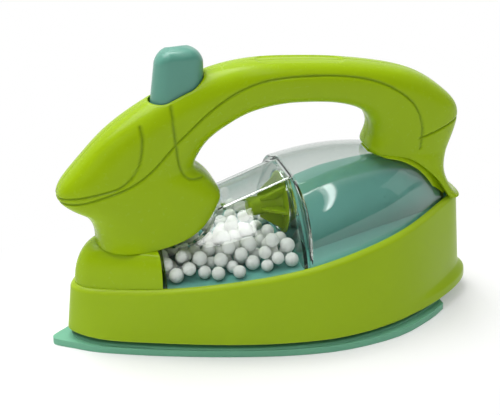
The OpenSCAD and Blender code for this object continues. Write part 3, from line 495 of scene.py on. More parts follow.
def hood_shell():
    """Motor hood: a rounded arch in every cross section, with height and width from the table."""
    s = np.linspace(hood_shares[0, 0], hood_shares[-1, 0], 80)
    rise = value_at(hood_shares[:, :2], s) * hood_rise
    half = value_at(hood_shares[:, [0, 2]], s) * (hood_hi[1] - hood_lo[1]) / 2
    rings = []
    for x, r, y in zip(along(s), rise, half):
        z = floor_z(x)
        inner, outer = (whole(x, round_section(y - d, z + seat_gap / 4, z + r - d, hood_square, 40))
                        for d in (hood_t, 0))
        rings.append(shell_ring(inner, outer))
    return skin("hood_shell", rings, caps="strips", sharp=35)


# ---- pedestal and handle


def pedestal_block():
    """Pedestal: the rim's outline at the nose, drawn in on a quarter ellipse as it rises."""
    in_x, in_y = 0.29, 0.2
    loop = top_loop + pedestal_in * inward(top_loop)
    near = np.roll(loop, len(loop) // 2, axis=0)
    near = near[near[:, 0] < pedestal_end_x - 0.2]
    y_end = np.interp(pedestal_end_x, *loop[: len(loop) // 2].T)
    base = np.vstack([[pedestal_end_x, -y_end], near, [pedestal_end_x, y_end]])
    rings = []
    for a in np.radians(np.linspace(0, 90, 28)):
        u, v = 1 - in_x * (1 - np.cos(a)), 1 - in_y * (1 - np.cos(a))
        x = pedestal_end_x + u * (base[:, 0] - pedestal_end_x)
        z = (1 - np.sin(a)) * (edge_z(x) + seat_gap / 4) + np.sin(a) * pedestal_z
        rings.append(np.column_stack([x, v * base[:, 1], z]))
    return skin("pedestal_block", rings, sharp=35)


def on_handle(shares):
    """Places x and z, from shares along the tank and of the handle's height."""
    s = np.asarray(shares)
    return np.column_stack([along(s[:, 0]), pedestal_z + s[:, 1] * handle_h])


def stations(count):
    """Smooth stations of the handle, foot over grip to heel, in millimetres; the rear pillar stays clear of
    the dome below it."""
    h, q, f, lift = handle_shares, pillar_shares, foot_shares, seat_gap / 4
    a = np.hstack([on_handle(h), on_handle(h[:, 2:]), h[:, 4:5] * handle_w / 2, h[:, 5:]])
    low_x = along(q[:, 2])
    b = np.column_stack([on_handle(q), low_x, crest_z(low_x) + seat_gap, q[:, 3] * handle_w / 2, q[:, 4:]])
    out_x, in_x = along(f[0]), along(f[1])
    c = [[out_x, edge_z(out_x) + lift, in_x, edge_z(in_x) + lift, f[2] * handle_w / 2, *f[3:]]]
    r = smooth_line(np.vstack([a, b, c]), count, by=4)
    over = (r[:, 2] > step_x) & (r[:, 2] < along(dome_end_share))
    r[:, 3] = np.where(over, np.maximum(r[:, 3], crest_z(r[:, 2]) + seat_gap), r[:, 3])
    return r


def foot_line():
    """Lower right outline of the handle's foot, which the cover meets."""
    r = stations(420)
    return r[(r[:, 3] < pedestal_z + handle_h * 0.35) & (r[:, 2] < step_x)][::4, 2:4]


def groove_field(x, z):
    """Distance of each point, seen from the side, to the nearest line groove."""
    best = np.full(x.shape, 1e9)
    for g in groove_shares:
        p = smooth_line(on_handle(g), 12 * len(g))
        for a, d in zip(p[:-1], np.diff(p, axis=0)):
            u = np.clip(((x - a[0]) * d[0] + (z - a[1]) * d[1]) / (d @ d), 0, 1)
            best = np.minimum(best, np.hypot(x - a[0] - u * d[0], z - a[1] - u * d[1]))
    return best


def past_stadium(x, y, l, w):
    """Distance of each point beyond an outline with straight sides and round ends, l long and w wide."""
    return np.hypot(np.maximum(np.abs(x) - (l - w) / 2, 0), y) - w / 2


joints = {j["name"]: j for j in frame["record"]["behaviour"]["joints"]}
press = joints["button_press"]["range_m"][1]
button_x = (button_lo[0] + button_hi[0]) / 2
flange_low = box_mm("button_spring")[1][2]
flange_t, flange_w = 2.0, 1.6
well_z = flange_low + flange_t + seat_gap / 3
button_l = button_hi[0] - button_lo[0] - 2 * flange_w
button_w = button_hi[1] - button_lo[1] - 2 * flange_w
stem_x = (board_lo[0] + board_hi[0]) / 2


def handle_shell(name, side):
    """One half of the handle: in every station a half section whose outer and inner quarter are
    superellipses, with the line grooves, the thumb recess, the parting line and the button's rim pressed in
    along the normal."""
    n, m, sharp = 700, 60, 50
    seam_d, seam_w, rim_d, recess_from = 0.22, 0.35, 0.5, -15
    screw_r, screw_y, above, beyond = 2.7, 4.2, 140, 40
    r = stations(n)
    a = np.linspace(0, np.pi / 2, m)
    ends = []
    for square in (np.full(n, outer_square), r[:, 6]):
        s = square[:, None]
        k = (np.cos(a) ** s + np.sin(a) ** s) ** (-1 / s)
        ends.append((k * np.cos(a), k * np.sin(a)))
    (c1, s1), (c2, s2) = ends
    wide = r[:, 5:6]
    t = np.hstack([wide * (1 - c1), (wide + (1 - wide) * c2)[:, -2::-1]])
    y = r[:, 4:5] * np.hstack([s1, s2[:, -2::-1]])
    p = np.stack([r[:, 0:1] + (r[:, 2:3] - r[:, 0:1]) * t, side * y,
                  r[:, 1:2] + (r[:, 3:4] - r[:, 1:2]) * t], -1)
    nrm = np.cross(np.gradient(p, axis=0), np.gradient(p, axis=1))
    nrm /= np.linalg.norm(nrm, axis=2)[..., None] + 1e-12
    mid = (p[:, :1] + p[:, -1:]) / 2
    nrm *= np.sign(np.einsum("ijk,ijk->", nrm, p - mid))
    x, yy, z = p[..., 0], np.abs(p[..., 1]), p[..., 2]
    top = t < 0.45
    in_recess = -past_stadium(x - along(recess_share), yy, recess_l, recess_w)
    off_button = past_stadium(x - button_x, yy, button_l, button_w) - slide_gap
    depth = groove_d * (1 - step_up(0.05, 0.7, groove_field(x, z)))
    depth += groove_d * step_up(0, 0.9, in_recess) * top * (x > recess_from)
    depth += seam_d * (1 - step_up(0, seam_w, yy)) * (np.abs(t - 0.5) > 0.4)
    depth += rim_d * (1 - step_up(-0.2, 0.9, off_button)) * top * (z > well_z)
    p = p - depth[..., None] * nrm
    p[:, [0, -1], 1] = 0
    p[..., 1] = side * np.maximum(side * p[..., 1], 0.02 * (y > 0))
    ob = skin(name, p, sharp=sharp)
    pocket = flange_low - press * 1000 - seat_gap
    for grow, low, high in ((2 * flange_w + 2 * slide_gap, pocket, well_z),
                            (2 * slide_gap, well_z - 0.2, above)):
        cut(ob, prism(stadium(button_l + grow, button_w + grow) + [button_x, 0], low, high), sharp)
    cut(ob, prism(rectangle(board_lo - seat_gap, board_hi + seat_gap), board_lo[2], pocket + 0.2), sharp)
    if side > 0:
        a = round_angles(39)
        for centre in on_handle(handle_screw_shares):
            ring = centre + screw_r * np.column_stack([np.cos(a), np.sin(a)])
            cut(ob, side_prism(ring, screw_y, beyond), sharp)
    # Painted shade: the line grooves are marked, and the finish draws them darker
    q = points_mm(ob)
    give(ob, "groove", 1 - step_up(0.1, 0.65, groove_field(q[:, 0], q[:, 2])))
    return ob


def pillar_flange():
    """Flange under the rear pillar: the dome's own surface between two edges, raised in the middle by one
    less the fifth power of the place across, so that it fills the space up to the pillar and ends in a thin
    lip."""
    start, end, half_w, lip_t, fill_t = 0.744, 0.953, 10.2, 0.45, 3.4
    s = np.linspace(start, end, 80)
    x = along(s)[:, None]
    half = np.minimum(half_w * np.sqrt(step_up(0.73, 0.79, s))[:, None], 0.85 * cover_y(x))
    v = np.sin(np.linspace(-np.pi / 2, np.pi / 2, 49))[None]
    y = half * v
    arch = (1 - (np.abs(y) / cover_y(x)) ** dome_square) ** (1 / dome_square)
    low = floor_z(x) + (crest_z(x) - floor_z(x)) * arch + seat_gap / 2
    thick = lip_t + fill_t * (1 - np.abs(v) ** 5) * step_up(start, 0.765, s)[:, None]
    below, over = (np.stack([x + 0 * y, y, z], -1) for z in (low, low + thick))
    return skin("pillar_flange", np.concatenate([below, over[:, ::-1]], 1), caps="strips", sharp=50)


# ---- button, fan, beads


def button_cap():
    """Button: flange, a cap that narrows upwards, a rounded top edge and a crowned top; all are rings of one
    outline with straight sides and round ends."""
    tall, crown, taper, edge_r, stem_d = button_hi[2], 4.6, 2.2, 3.2, 5.0
    peak_x, cross_fall, lean = 1.4, 0.6, 0.6
    ground, high = flange_low + flange_t, tall - well_z + seat_gap / 3
    top_r = (button_l ** 2 / 4 + crown ** 2) / (2 * crown)

    def crown_z(x, y):
        """Height of the top: an arc along the button, less a parabola across it."""
        arc = np.sqrt(np.maximum(top_r ** 2 - (x - peak_x) ** 2, 0))
        return tall - top_r + arc - cross_fall * (2 * y / button_w) ** 2

    def outline(h, d):
        """Outline at the height h, drawn in by the taper and by d."""
        k = taper * np.clip(h / high, 0, 1)
        return stadium(button_l - k - 2 * d, button_w - k - 2 * d) + [lean * k, 0]

    def topped(o, drop):
        """Ring of an outline, a drop below the crowned top."""
        return level(o, crown_z(o[:, 0], o[:, 1]) - drop)

    stem = stadium(stem_d + 0.0001, stem_d) + [stem_x - button_x, 0]
    flange = stadium(button_l + 2 * flange_w, button_w + 2 * flange_w)
    foot, side, last = outline(0, 0), outline(high, 0), outline(high, edge_r)
    rings = [level(stem, button_lo[2]), level(stem, flange_low), level(flange, flange_low),
             level(flange, ground), level(foot, ground)]
    shoulder = topped(side, edge_r)[:, 2]
    for s in np.linspace(0, 1, 12)[1:]:
        rings.append(level((1 - s) * foot + s * side, ground + s * (shoulder - ground)))
    for a in np.radians(np.linspace(10, 90, 9)):
        rings.append(topped(outline(high, edge_r * (1 - np.cos(a))), edge_r * (1 - np.sin(a))))
    rings += [topped(last * g, 0) for g in np.linspace(0.85, 0.02, 9)]
    return skin("button_cap", np.array(rings) + [button_x, 0, 0], sharp=45)


def turned(profile):
    """Rings of a body turned about the X axis: rows of x and radius carried round a circle."""
    a = round_angles(72)
    p = np.asarray(profile, float)
    return np.stack([np.repeat(p[:, :1], len(a), 1), p[:, 1:] * np.cos(a), p[:, 1:] * np.sin(a)], -1)


def fan_wheel():
    """Fan: hub with a rounded nose that flares into a thin disc, turned about the axis, and six
    three-cornered vanes, each a flat outline with rounded faces."""
    axis, big = (fan_lo[2] + fan_hi[2]) / 2, (fan_hi[2] - fan_lo[2]) / 2
    x0, x1 = fan_lo[0], fan_hi[0]
    hub, disc, vane, vanes = 3.9, 1.3, 1.3, 6
    nose_r, rim_r, flare_r, flare_from, tip_in, point = 1.6, 0.4, 1.6, 8.5, 1.3, 0.02
    back = x1 - disc
    a = np.radians(np.linspace(90, 0, 9))
    nose = np.column_stack([x0 + nose_r * (1 - np.cos(np.pi / 2 - a)), hub - nose_r + nose_r * np.cos(a)])
    edge = np.radians(np.linspace(0, 180, 9))
    rim = np.column_stack([x1 - disc / 2 - disc / 2 * np.cos(edge), big - rim_r + rim_r * np.sin(edge)])
    flare = np.column_stack([np.linspace(x0 + flare_from, back - 0.02, 8),
                             hub + flare_r * np.linspace(0, 1, 8) ** 2.5])
    rings = turned(np.vstack([[[x0, point]], [[x0, hub - nose_r]], nose, flare, rim, [[x1, point]]]))
    n, m = rings.shape[:2]
    verts = [rings.reshape(-1, 3)]
    faces = ring_faces(n, m) + [list(range(m)), list(range((n - 1) * m, n * m))[::-1]]
    root, low, behind = x0 + (back - x0) * 0.36, hub * 0.5, back + disc * 0.6
    tip = big - tip_in
    shape = np.array([[root, low], [root, hub + 0.9], [back, tip], [behind, tip], [behind, low]])
    to_centre = shape.mean(0) - shape
    to_centre /= np.linalg.norm(to_centre, axis=1)[:, None]
    # Share of the vane's thickness, and how far the outline is drawn in there
    rounding = [(-0.5, 0.3), (-0.38, 0.08), (-0.2, 0), (0.2, 0), (0.38, 0.08), (0.5, 0.3)]
    for turn in np.radians(360 / vanes * np.arange(vanes)):
        v = []
        for h, d in rounding:
            q = shape + to_centre * d
            v.append(np.column_stack([q[:, 0], q[:, 1] * np.cos(turn) - vane * h * np.sin(turn),
                                      q[:, 1] * np.sin(turn) + vane * h * np.cos(turn)]))
        v = np.vstack(v)
        k, start = len(shape), sum(map(len, verts))
        f = ring_faces(len(rounding), k) + [list(range(k))[::-1], list(range(len(v) - k, len(v)))]
        if volume(v, f) < 0:
            f = [q[::-1] for q in f]
        faces += [[i + start for i in q] for q in f]
        verts.append(v)
    return make_piece("fan_wheel", np.vstack(verts) + [0, 0, axis], faces)


def bead_places():
    """Centre and radius of every bead: triangles of the CAD beads that share corners are one bead, found by
    passing the lowest label along the edges until nothing changes."""
    beads = frame["nodes"]["beads"]
    me = beads.data
    me.calc_loop_triangles()
    tri = np.empty(len(me.loop_triangles) * 3, np.int32)
    me.loop_triangles.foreach_get("vertices", tri)
    key, at = np.unique(np.round(points_mm(beads), 3), axis=0, return_inverse=True)
    tri = at.reshape(-1)[tri].reshape(-1, 3)
    label = np.arange(len(key))
    while True:
        low = label[tri].min(1)
        new = label.copy()
        np.minimum.at(new, tri.ravel(), np.repeat(low, 3))
        new = new[new]
        if (new == label).all():
            break
        label = new
    names, at = np.unique(label, return_inverse=True)
    at = at.reshape(-1)
    lo = np.full((len(names), 3), 1e9)
    hi = -lo
    np.minimum.at(lo, at, key)
    np.maximum.at(hi, at, key)
    return (lo + hi) / 2, (hi - lo).max(1) / 2


def bead_heap():
    """Foam beads: a round grid of points at every place, pressed a little out of round by seeded waves."""
    centre, radius = bead_places()
    rows, cols, seed = 10, 16, 7
    size, uneven, wave_pitch = 0.985, 0.018, 1.4
    lat = np.linspace(-np.pi / 2, np.pi / 2, rows + 1)[1:-1]
    la, lo = np.meshgrid(lat, round_angles(cols), indexing="ij")
    ball = np.stack([np.cos(la) * np.cos(lo), np.cos(la) * np.sin(lo), np.sin(la)], -1).reshape(-1, 3)
    ball = np.vstack([ball, [[0, 0, -1], [0, 0, 1]]])
    rng = np.random.default_rng(seed)
    wave = rng.normal(size=(len(centre), 3, 3))
    swell = np.sin(np.einsum("vi,bji->bvj", ball, wave) * wave_pitch).mean(2)
    scale = radius[:, None] * (size + uneven * swell)
    verts = centre[:, None] + scale[..., None] * ball
    n, per = rows - 1, len(ball)
    i = np.arange(cols)
    south = np.stack([(i + 1) % cols, i, np.full(cols, per - 2)], 1)
    north = np.stack([i, (i + 1) % cols, np.full(cols, per - 1)], 1) + np.array([(n - 1) * cols] * 2 + [0])
    off = np.arange(len(centre))[:, None, None] * per
    faces = []
    for part in (np.array(ring_faces(n, cols)), south, north):
        faces += (part + off).reshape(-1, part.shape[1]).tolist()
    ob = make_piece("bead_heap", verts.reshape(-1, 3), faces, 80)
    give(ob, "tone", np.repeat(rng.random(len(centre)), per))
    return ob


def smooth_copy(cad_node, name, sharp, bevel=0.0):
    """Merged copy of a CAD node with smooth shading, and narrow rounded edges where bevel is given."""
    me = frame["nodes"][cad_node].data.copy()
    bm = bmesh.new()
    bm.from_mesh(me)
    bmesh.ops.remove_doubles(bm, verts=bm.verts, dist=1e-6)
    bmesh.ops.dissolve_limit(bm, angle_limit=0.002, verts=bm.verts, edges=bm.edges)
    bm.to_mesh(me)
    bm.free()
    me.materials.clear()
    me.name = name
    ob = add_object(name, me)
    if bevel:
        mod = ob.modifiers.new("edge", "BEVEL")
        mod.width, mod.segments, mod.limit_method = bevel * MM, 4, "ANGLE"
        mod.angle_limit = np.radians(40)
        apply_modifiers(ob)
    finish_mesh(ob.data, sharp)
    return ob


def sole_slab():
    """Sole: the CAD node with rounded edges, and a narrow shadow groove round the band's foot, whose floor
    carries a painted shade."""
    sharp, groove_low, groove_high, over_in = 30, band_z - 1.7, band_z + 1, -3.0
    sole = smooth_copy("sole_plate", "sole_slab", sharp, 1.3)
    rings = [level(band_loop - d * inward(band_loop), z)
             for d, z in ((over_in, groove_low), (1.9, groove_low), (2.3, groove_high), (over_in, groove_high))]
    cut(sole, skin("tool", rings, loop=True), sharp)
    # Painted shade: the groove's floor is marked, and the sole's finish draws it darker
    give(sole, "groove", 1.0 * (np.abs(points_mm(sole)[:, 2] - groove_low) < 0.05))
    return sole


# ---- finishes

WHITE = (1, 1, 1, 1)


def feed(t, socket, v):
    """Links v to an input where it is a socket, else sets it there as a value."""
    if hasattr(v, "is_output"):
        t.links.new(v, socket)
    else:
        socket.default_value = v


def fill(t, n, **ins):
    """Feeds the named inputs of a node, with _ for a blank in a name."""
    for k, v in ins.items():
        feed(t, n.inputs[k.replace("_", " ")], v)
    return n


def node(t, kind, sets=None, **ins):
    """Adds a shader node; sets are its own settings, the rest is fed to its inputs."""
    n = t.nodes.new("ShaderNode" + kind)
    for k, v in (sets or {}).items():
        setattr(n, k, v)
    return fill(t, n, **ins)


def calc(t, op, a, b):
    """Math node; a and b are sockets or numbers."""
    n = node(t, "Math", {"operation": op})
    feed(t, n.inputs[0], a)
    feed(t, n.inputs[1], b)
    return n.outputs[0]


def scaled(t, v, gain, start):
    """The value times a gain, plus a start."""
    return calc(t, "ADD", calc(t, "MULTIPLY", v, gain), start)


def mix_colour(t, fac, a, b):
    """Colour mix; fac, a and b are sockets or values."""
    n = node(t, "Mix", {"data_type": "RGBA"})
    for i, v in ((0, fac), (6, a), (7, b)):
        feed(t, n.inputs[i], v)
    return n.outputs[2]


def tint(t, mask, share, colour, tone):
    """Colour that goes over to the tone by a share of the mask."""
    return mix_colour(t, calc(t, "MULTIPLY", mask, share), colour, (*tone, 1))


def soft_range(t, v, lo, hi, to_lo=0.0, to_hi=1.0):
    """Soft S from to_lo at lo to to_hi at hi."""
    return node(t, "MapRange", {"interpolation_type": "SMOOTHSTEP"}, Value=v,
                From_Min=lo, From_Max=hi, To_Min=to_lo, To_Max=to_hi).outputs[0]


def on_object(t, kind, **ins):
    """Adds a texture or mapping node that reads object coordinates."""
    return node(t, kind, Vector=node(t, "TexCoord").outputs["Object"], **ins)


def carried(t, name):
    """The number that the piece carries under a name."""
    return node(t, "Attribute", {"attribute_name": name}).outputs["Fac"]


def bump(t, height, strength, depth):
    """Normal of a bump from a height."""
    return node(t, "Bump", Strength=strength, Distance=depth, Height=height).outputs[0]


def seen_rays(t):
    """1 for rays from the camera, in gloss or through clear parts, else 0."""
    ray = node(t, "LightPath").outputs
    return calc(t, "MAXIMUM", ray["Is Camera Ray"],
                     calc(t, "MAXIMUM", ray["Is Glossy Ray"], ray["Is Transmission Ray"]))


def mix_shaders(t, fac, a, b, out):
    """Mix of the shaders a and b, as the surface of the output node."""
    mix = node(t, "MixShader")
    for i, v in enumerate((fac, a.outputs[0], b.outputs[0])):
        feed(t, mix.inputs[i], v)
    fill(t, out, Surface=mix.outputs[0])


def new_group(name, inputs, outputs):
    """Empty shader group from tables of socket names and values; returns it, its inputs and its output node."""
    g = bpy.data.node_groups.new(name, "ShaderNodeTree")
    for side, rows in (("INPUT", inputs), ("OUTPUT", outputs)):
        for label, value in rows.items():
            kind = "NodeSocketColor" if value == WHITE else "NodeSocketFloat"
            socket = g.interface.new_socket(label, in_out=side, socket_type=kind)
            if side == "INPUT":
                socket.default_value = value
    return g, g.nodes.new("NodeGroupInput").outputs, g.nodes.new("NodeGroupOutput")


def mottle_group():
    """Uneven pigment: the colour is lightened and darkened by two sizes of soft noise in object space."""
    g, given, out = new_group("mottle", {"Color": WHITE, "Scale": 60.0, "Amount": 0.1},
                              {"Color": WHITE, "Value": 0.0})
    fine = calc(g, "MULTIPLY", given["Scale"], 9.0)
    big = on_object(g, "TexNoise", Scale=given["Scale"], Detail=2.0, Roughness=0.5).outputs[0]
    small = on_object(g, "TexNoise", Scale=fine, Detail=4.0, Roughness=0.6).outputs[0]
    v = scaled(g, big, 0.7, calc(g, "MULTIPLY", small, 0.3))
    gain = scaled(g, calc(g, "SUBTRACT", v, 0.5), given["Amount"], 1.0)
    hsv = node(g, "HueSaturation", Color=given["Color"], Value=gain)
    fill(g, out, Color=hsv.outputs[0], Value=small)
    return g


def scuff_group():
    """Fine hairline scuffs: stretched noise in two directions, kept only at its peaks."""
    g, given, out = new_group("scuffs", {"Scale": 300.0, "Amount": 0.5}, {"Mask": 0.0})
    peaks = []
    for turn, long in (((0.3, 0.9, 0.5), (1, 0.06, 1)), ((1.1, 0.2, -0.7), (0.05, 1, 1))):
        mp = on_object(g, "Mapping", Rotation=turn, Scale=long)
        nz = node(g, "TexNoise", Vector=mp.outputs[0], Scale=given["Scale"], Detail=2.0)
        peaks.append(soft_range(g, nz.outputs[0], 0.64, 0.74))
    fill(g, out, Mask=calc(g, "MULTIPLY", calc(g, "MAXIMUM", *peaks), given["Amount"]))
    return g


def speck_group():
    """Sparse dust and moulding specks: small round spots at a few of the cells of a cell pattern."""
    g, given, out = new_group("specks", {"Scale": 120.0, "Share": 0.06}, {"Mask": 0.0})
    cell = on_object(g, "TexVoronoi", Scale=given["Scale"])
    split = node(g, "SeparateColor", Color=cell.outputs["Color"])
    some = calc(g, "LESS_THAN", split.outputs[0], given["Share"])
    spot = soft_range(g, cell.outputs["Distance"], 0.07, 0.03)
    fill(g, out, Mask=calc(g, "MULTIPLY", spot, some))
    return g


MOTTLE, SCUFFS, SPECKS = mottle_group(), scuff_group(), speck_group()


def place(t, group, **ins):
    """Puts a shared effect into a material with its own values."""
    return node(t, "Group", {"node_tree": group}, **ins).outputs


def new_material(name):
    """Material with its tree, Principled shader and output node."""
    m = bpy.data.materials.new(name)
    m.use_nodes = True
    t = m.node_tree
    return m, t, t.nodes["Principled BSDF"], t.nodes["Material Output"]


def moulded(name, colour, speck_and_painted_shade, rough, groove=False, light=None, gloss=0.17):
    """Moulded plastic: uneven pigment, dust specks, scuffs that dull the gloss and a faint orange-peel skin;
    groove adds a painted shade, and light a painted highlight, where the piece carries groove or edge."""
    m, t, bsdf, _ = new_material(name)
    mot = place(t, MOTTLE, Color=(*colour, 1), Scale=45.0, Amount=0.12)
    scuffs = place(t, SCUFFS, Scale=420.0, Amount=0.4)[0]
    col = tint(t, place(t, SPECKS, Scale=150.0, Share=0.035)[0], 0.55, mot["Color"], speck_and_painted_shade)
    col = tint(t, scuffs, 0.004, col, (0.9, 0.95, 0.8))
    # Painted shade in the marked grooves
    if groove:
        col = tint(t, carried(t, "groove"), 0.6, col, speck_and_painted_shade)
    # Painted highlight along the marked edges
    if light:
        col = tint(t, carried(t, "edge"), 0.35, col, light)
    r = scaled(t, scuffs, 0.03, scaled(t, mot["Value"], 0.10, rough - 0.05))
    peel = on_object(t, "TexNoise", Scale=900.0, Detail=2.0).outputs[0]
    fill(t, bsdf, Base_Color=col, Roughness=r, Normal=bump(t, peel, 0.03, 0.0004), IOR=1.5,
         Specular_IOR_Level=gloss)
    return m


def clear_plastic():
    """Clear polystyrene: refracting plastic with faint haze, hairline scuffs and a few specks, deeper in tone
    where it slants away, with painted shade along the shoulder and the front lip; shadow rays, diffuse rays and
    rays that have passed many surfaces go straight through."""
    m, t, bsdf, out = new_material("clear_polystyrene")
    haze = place(t, MOTTLE, Color=(0.985, 0.992, 0.988, 1), Scale=30.0, Amount=0.02)["Color"]
    scuffs = place(t, SCUFFS, Scale=260.0, Amount=0.6)[0]
    col = tint(t, place(t, SPECKS, Scale=130.0, Share=0.05)[0], 0.5, haze, (0.75, 0.8, 0.75))
    slant = node(t, "LayerWeight", Blend=0.5).outputs["Facing"]
    col = mix_colour(t, calc(t, "MINIMUM", slant, 0.68), col, (0.1, 0.19, 0.13, 1))
    # Painted shade along the marked shoulder and front lip
    col = tint(t, carried(t, "edge"), 0.8, col, (0.1, 0.15, 0.08))
    fill(t, bsdf, Base_Color=col, Roughness=scaled(t, scuffs, 0.12, 0.015), Transmission_Weight=1.0, IOR=1.46)
    ray = node(t, "LightPath").outputs
    through = calc(t, "MAXIMUM", ray["Is Shadow Ray"], ray["Is Diffuse Ray"])
    through = calc(t, "MAXIMUM", through, calc(t, "GREATER_THAN", ray["Ray Depth"], 5.5))
    clear = node(t, "BsdfTransparent", Color=(0.93, 0.95, 0.94, 1))
    mix_shaders(t, through, bsdf, clear, out)
    return m


def foam():
    """Foam bead: matt white, each bead a little different in tone, with the fine cells of blown foam."""
    m, t, bsdf, _ = new_material("bead_foam")
    mot = place(t, MOTTLE, Color=(0.80, 0.815, 0.795, 1), Scale=160.0, Amount=0.06)
    cell = on_object(t, "TexVoronoi", Scale=1500.0).outputs["Distance"]
    fill(t, bsdf, Base_Color=tint(t, carried(t, "tone"), 0.35, mot["Color"], (0.72, 0.74, 0.71)),
         Roughness=scaled(t, cell, 0.2, 0.6), Normal=bump(t, cell, 0.25, 0.0003),
         Subsurface_Weight=0.15, Subsurface_Scale=0.001, Subsurface_Radius=(1, 1, 1))
    return m


def plated(name, colour, rough):
    """Plated or drawn metal: uneven colour, with fine upright lines in gloss and bump."""
    m, t, bsdf, _ = new_material(name)
    mot = place(t, MOTTLE, Color=(*colour, 1), Scale=250.0, Amount=0.15)
    mp = on_object(t, "Mapping", Scale=(1, 1, 0.05))
    lines = node(t, "TexNoise", Vector=mp.outputs[0], Scale=2500.0, Detail=3.0).outputs[0]
    fill(t, bsdf, Base_Color=mot["Color"], Roughness=scaled(t, lines, 0.2, rough - 0.1),
         Normal=bump(t, lines, 0.15, 0.0001), Metallic=1.0)
    return m


# The green's dark colour serves the dust specks and the painted shade in the line grooves; its pale colour is a
# painted highlight on the band
GREEN, GREEN_SPECK_AND_PAINTED_SHADE, GREEN_PAINTED_HIGHLIGHT = (0.285, 0.43, 0.002), (0.12, 0.21, 0.003), (0.42, 0.55, 0.05)
TEAL, TEAL_DARK = (0.09, 0.28, 0.215), (0.045, 0.15, 0.115)
mats = {
    "green_plastic": moulded("lime_moulding", GREEN, GREEN_SPECK_AND_PAINTED_SHADE, 0.26, groove=True),
    "green_band": moulded("lime_band_painted_highlight", GREEN, GREEN_SPECK_AND_PAINTED_SHADE, 0.30, light=GREEN_PAINTED_HIGHLIGHT),
    "teal_plastic": moulded("teal_moulding", TEAL, TEAL_DARK, 0.30, gloss=0.45),
    "teal_hood": moulded("teal_hood", (0.165, 0.43, 0.375), (0.07, 0.22, 0.19), 0.5),
    "teal_floor": moulded("teal_floor", (0.13, 0.385, 0.335), (0.06, 0.2, 0.17), 0.4),
    # The sole's dark colour serves the specks and the painted shade in the groove round the band's foot
    "teal_sole": moulded("teal_sole", (0.165, 0.43, 0.285), (0.008, 0.1, 0.02), 0.32, groove=True),
    "clear_plastic": clear_plastic(),
    "foam": foam(),
    "steel": plated("zinc_plate", (0.62, 0.62, 0.63), 0.35),
    "contact_metal": plated("contact_plate", (0.75, 0.6, 0.3), 0.3),
    "cell_wrap": moulded("cell_wrap", (0.10, 0.10, 0.11), (0.02, 0.02, 0.02), 0.25),
    "white_plastic": moulded("endcap_nylon", (0.75, 0.74, 0.68), (0.4, 0.38, 0.33), 0.5),
    "black_plastic": moulded("switch_body", (0.05, 0.05, 0.05), (0.01, 0.01, 0.01), 0.45),
    "board": moulded("board_resin", (0.05, 0.22, 0.08), (0.02, 0.1, 0.03), 0.4),
}
# Nodes that keep their own mesh and have a finish of their own
own_finish = {"tank_floor": "teal_floor", "battery_door": "teal_sole"}


def dress(ob, body, slot, *nodes, finish=None):
    """A new piece: its finish or else its slot's, the body it rides on, and the CAD nodes it stands for."""
    ob.data.materials.clear()
    ob.data.materials.append(mats[finish or slot])
    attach(ob, body)
    if nodes:
        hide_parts(*nodes)
    return ob


dress(base_shell(), "iron", "green_plastic", "base_band", finish="green_band")
dress(clear_shell(), "iron", "clear_plastic", "tank_cover")
dress(hood_shell(), "iron", "teal_plastic", "motor_hood", finish="teal_hood")
dress(pedestal_block(), "iron", "green_plastic", "front_pedestal")
dress(handle_shell("handle_shell_left", -1), "iron", "green_plastic", "handle_left")
dress(handle_shell("handle_shell_right", 1), "iron", "green_plastic", "handle_right")
dress(pillar_flange(), "iron", "green_plastic")
dress(button_cap(), "button", "teal_plastic", "button")
dress(fan_wheel(), "fan", "green_plastic", "fan")
dress(bead_heap(), "iron", "foam", "beads")
dress(sole_slab(), "iron", "teal_plastic", "sole_plate", finish="teal_sole")
coil = dress(smooth_copy("button_spring", "spring_coil", 60), "iron", "steel", "button_spring")
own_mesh(coil)
for row in frame["record"]["subparts"]:
    for s in frame["nodes"][row["node"]].material_slots:
        s.material = mats[own_finish.get(row["node"], row["material_slot"])]

# ---- floor, light, camera


def ground_material():
    """White studio floor: takes the shadow of the iron; seen directly, in gloss or through the clear parts it
    is lifted to white by its own light, less so close to the iron."""
    m, t, bsdf, out = new_material("studio_floor")
    nz = on_object(t, "TexNoise", Scale=3.0, Detail=3.0).outputs[0]
    fill(t, bsdf, Base_Color=mix_colour(t, nz, (0.90, 0.90, 0.90, 1), (0.92, 0.92, 0.92, 1)), Roughness=0.9,
         Specular_IOR_Level=0.0)
    glow = node(t, "Emission", Color=WHITE, Strength=1.0)
    flat = on_object(t, "Mapping", Scale=(1, 1.6, 0))
    far = node(t, "VectorMath", {"operation": "LENGTH"}, Vector=flat.outputs[0])
    lift = soft_range(t, far.outputs["Value"], 0.085, 0.17, 0.25, 1.0)
    mix_shaders(t, calc(t, "MULTIPLY", seen_rays(t), lift), bsdf, glow, out)
    return m


floor_half, floor_deep = 4000, 20
floor_plan = rectangle((-floor_half, -floor_half), (floor_half, floor_half))
floor = skin("floor", [level(floor_plan, z) for z in (-floor_deep, 0)])
floor.data.materials.append(ground_material())


def lamp(name, place_at, aim, size, power):
    """Rectangular soft box at a place, turned to the aim; places in metres."""
    d = bpy.data.lights.new(name, "AREA")
    d.shape, d.size, d.size_y, d.energy = "RECTANGLE", size[0], size[1], power
    ob = add_object(name, d)
    turn = (Vector(place_at) - Vector(aim)).to_track_quat("Z", "Y")
    ob.matrix_world = Matrix.Translation(place_at) @ turn.to_matrix().to_4x4()
    return ob


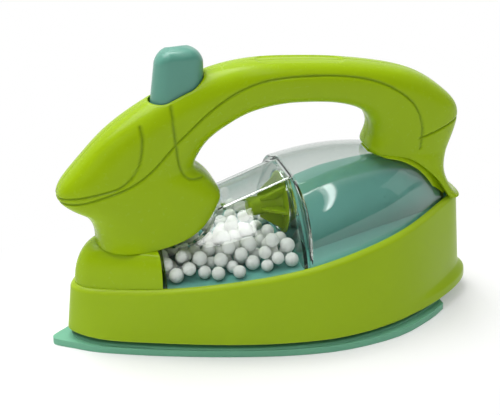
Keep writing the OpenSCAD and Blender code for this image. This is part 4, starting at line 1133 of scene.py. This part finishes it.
lamp("top_box", (-0.28, 0.27, 0.9), (0, 0, 0.05), (0.9, 0.7), 10.6)
for box in (lamp("front_box", (-0.65, -0.55, 0.5), (0, 0, 0.06), (0.5, 0.4), 1.35),
            lamp("side_box", (0.8, -0.15, 0.4), (0, 0, 0.06), (0.5, 0.5), 1.0)):
    box.visible_glossy = False
tube_x, tube_y, tube_l, tube_turn = 0.215, -0.1, 1.6, np.radians(13)
for width, power in ((0.06, 1.7), (0.12, 1.6)):
    tube = lamp("tube", (tube_x, tube_y, 1.0 + width), (tube_x, tube_y, 0), (width, tube_l), power)
    tube.matrix_world = tube.matrix_world @ Matrix.Rotation(tube_turn, 4, "Z")
lamp("small_box", (-0.275, -0.36, 0.95), (-0.275, -0.36, 0), (0.15, 0.24), 0.95)

scene = bpy.context.scene
scene.view_settings.view_transform = "Standard"
scene.world = bpy.data.worlds.new("studio")
scene.world.use_nodes = True
wt = scene.world.node_tree
wt.nodes.clear()
# Dim for the light that falls on the iron; where it is seen, white behind the iron and darker in front
way = node(wt, "SeparateXYZ", Vector=node(wt, "TexCoord").outputs["Generated"])
dim = node(wt, "Background", Color=WHITE, Strength=0.22)
seen = node(wt, "Background", Color=WHITE,
            Strength=soft_range(wt, way.outputs["Y"], -0.15, 0.35, 0.12, 1.0))
mix_shaders(wt, seen_rays(wt), dim, seen, node(wt, "OutputWorld"))

azimuth, elevation, distance = np.radians(-17.0), np.radians(26.0), 0.56
photo_px, focal_px, right_px, up_px = 500, 1372, -3.0, -12.0
aim = np.array([-0.0055, 0.0, 0.055])
back = np.array([np.sin(azimuth) * np.cos(elevation), -np.cos(azimuth) * np.cos(elevation), np.sin(elevation)])
cam = bpy.data.cameras.new("photo_camera")
cam.sensor_width, cam.lens = 36.0, 36.0 * focal_px / photo_px
cam.shift_x, cam.shift_y = right_px / photo_px, up_px / photo_px
eye = add_object("photo_camera", cam)
turn = Vector(back).to_track_quat("Z", "Y")
eye.matrix_world = Matrix.Translation(aim + distance * back) @ turn.to_matrix().to_4x4()
scene.camera = eye
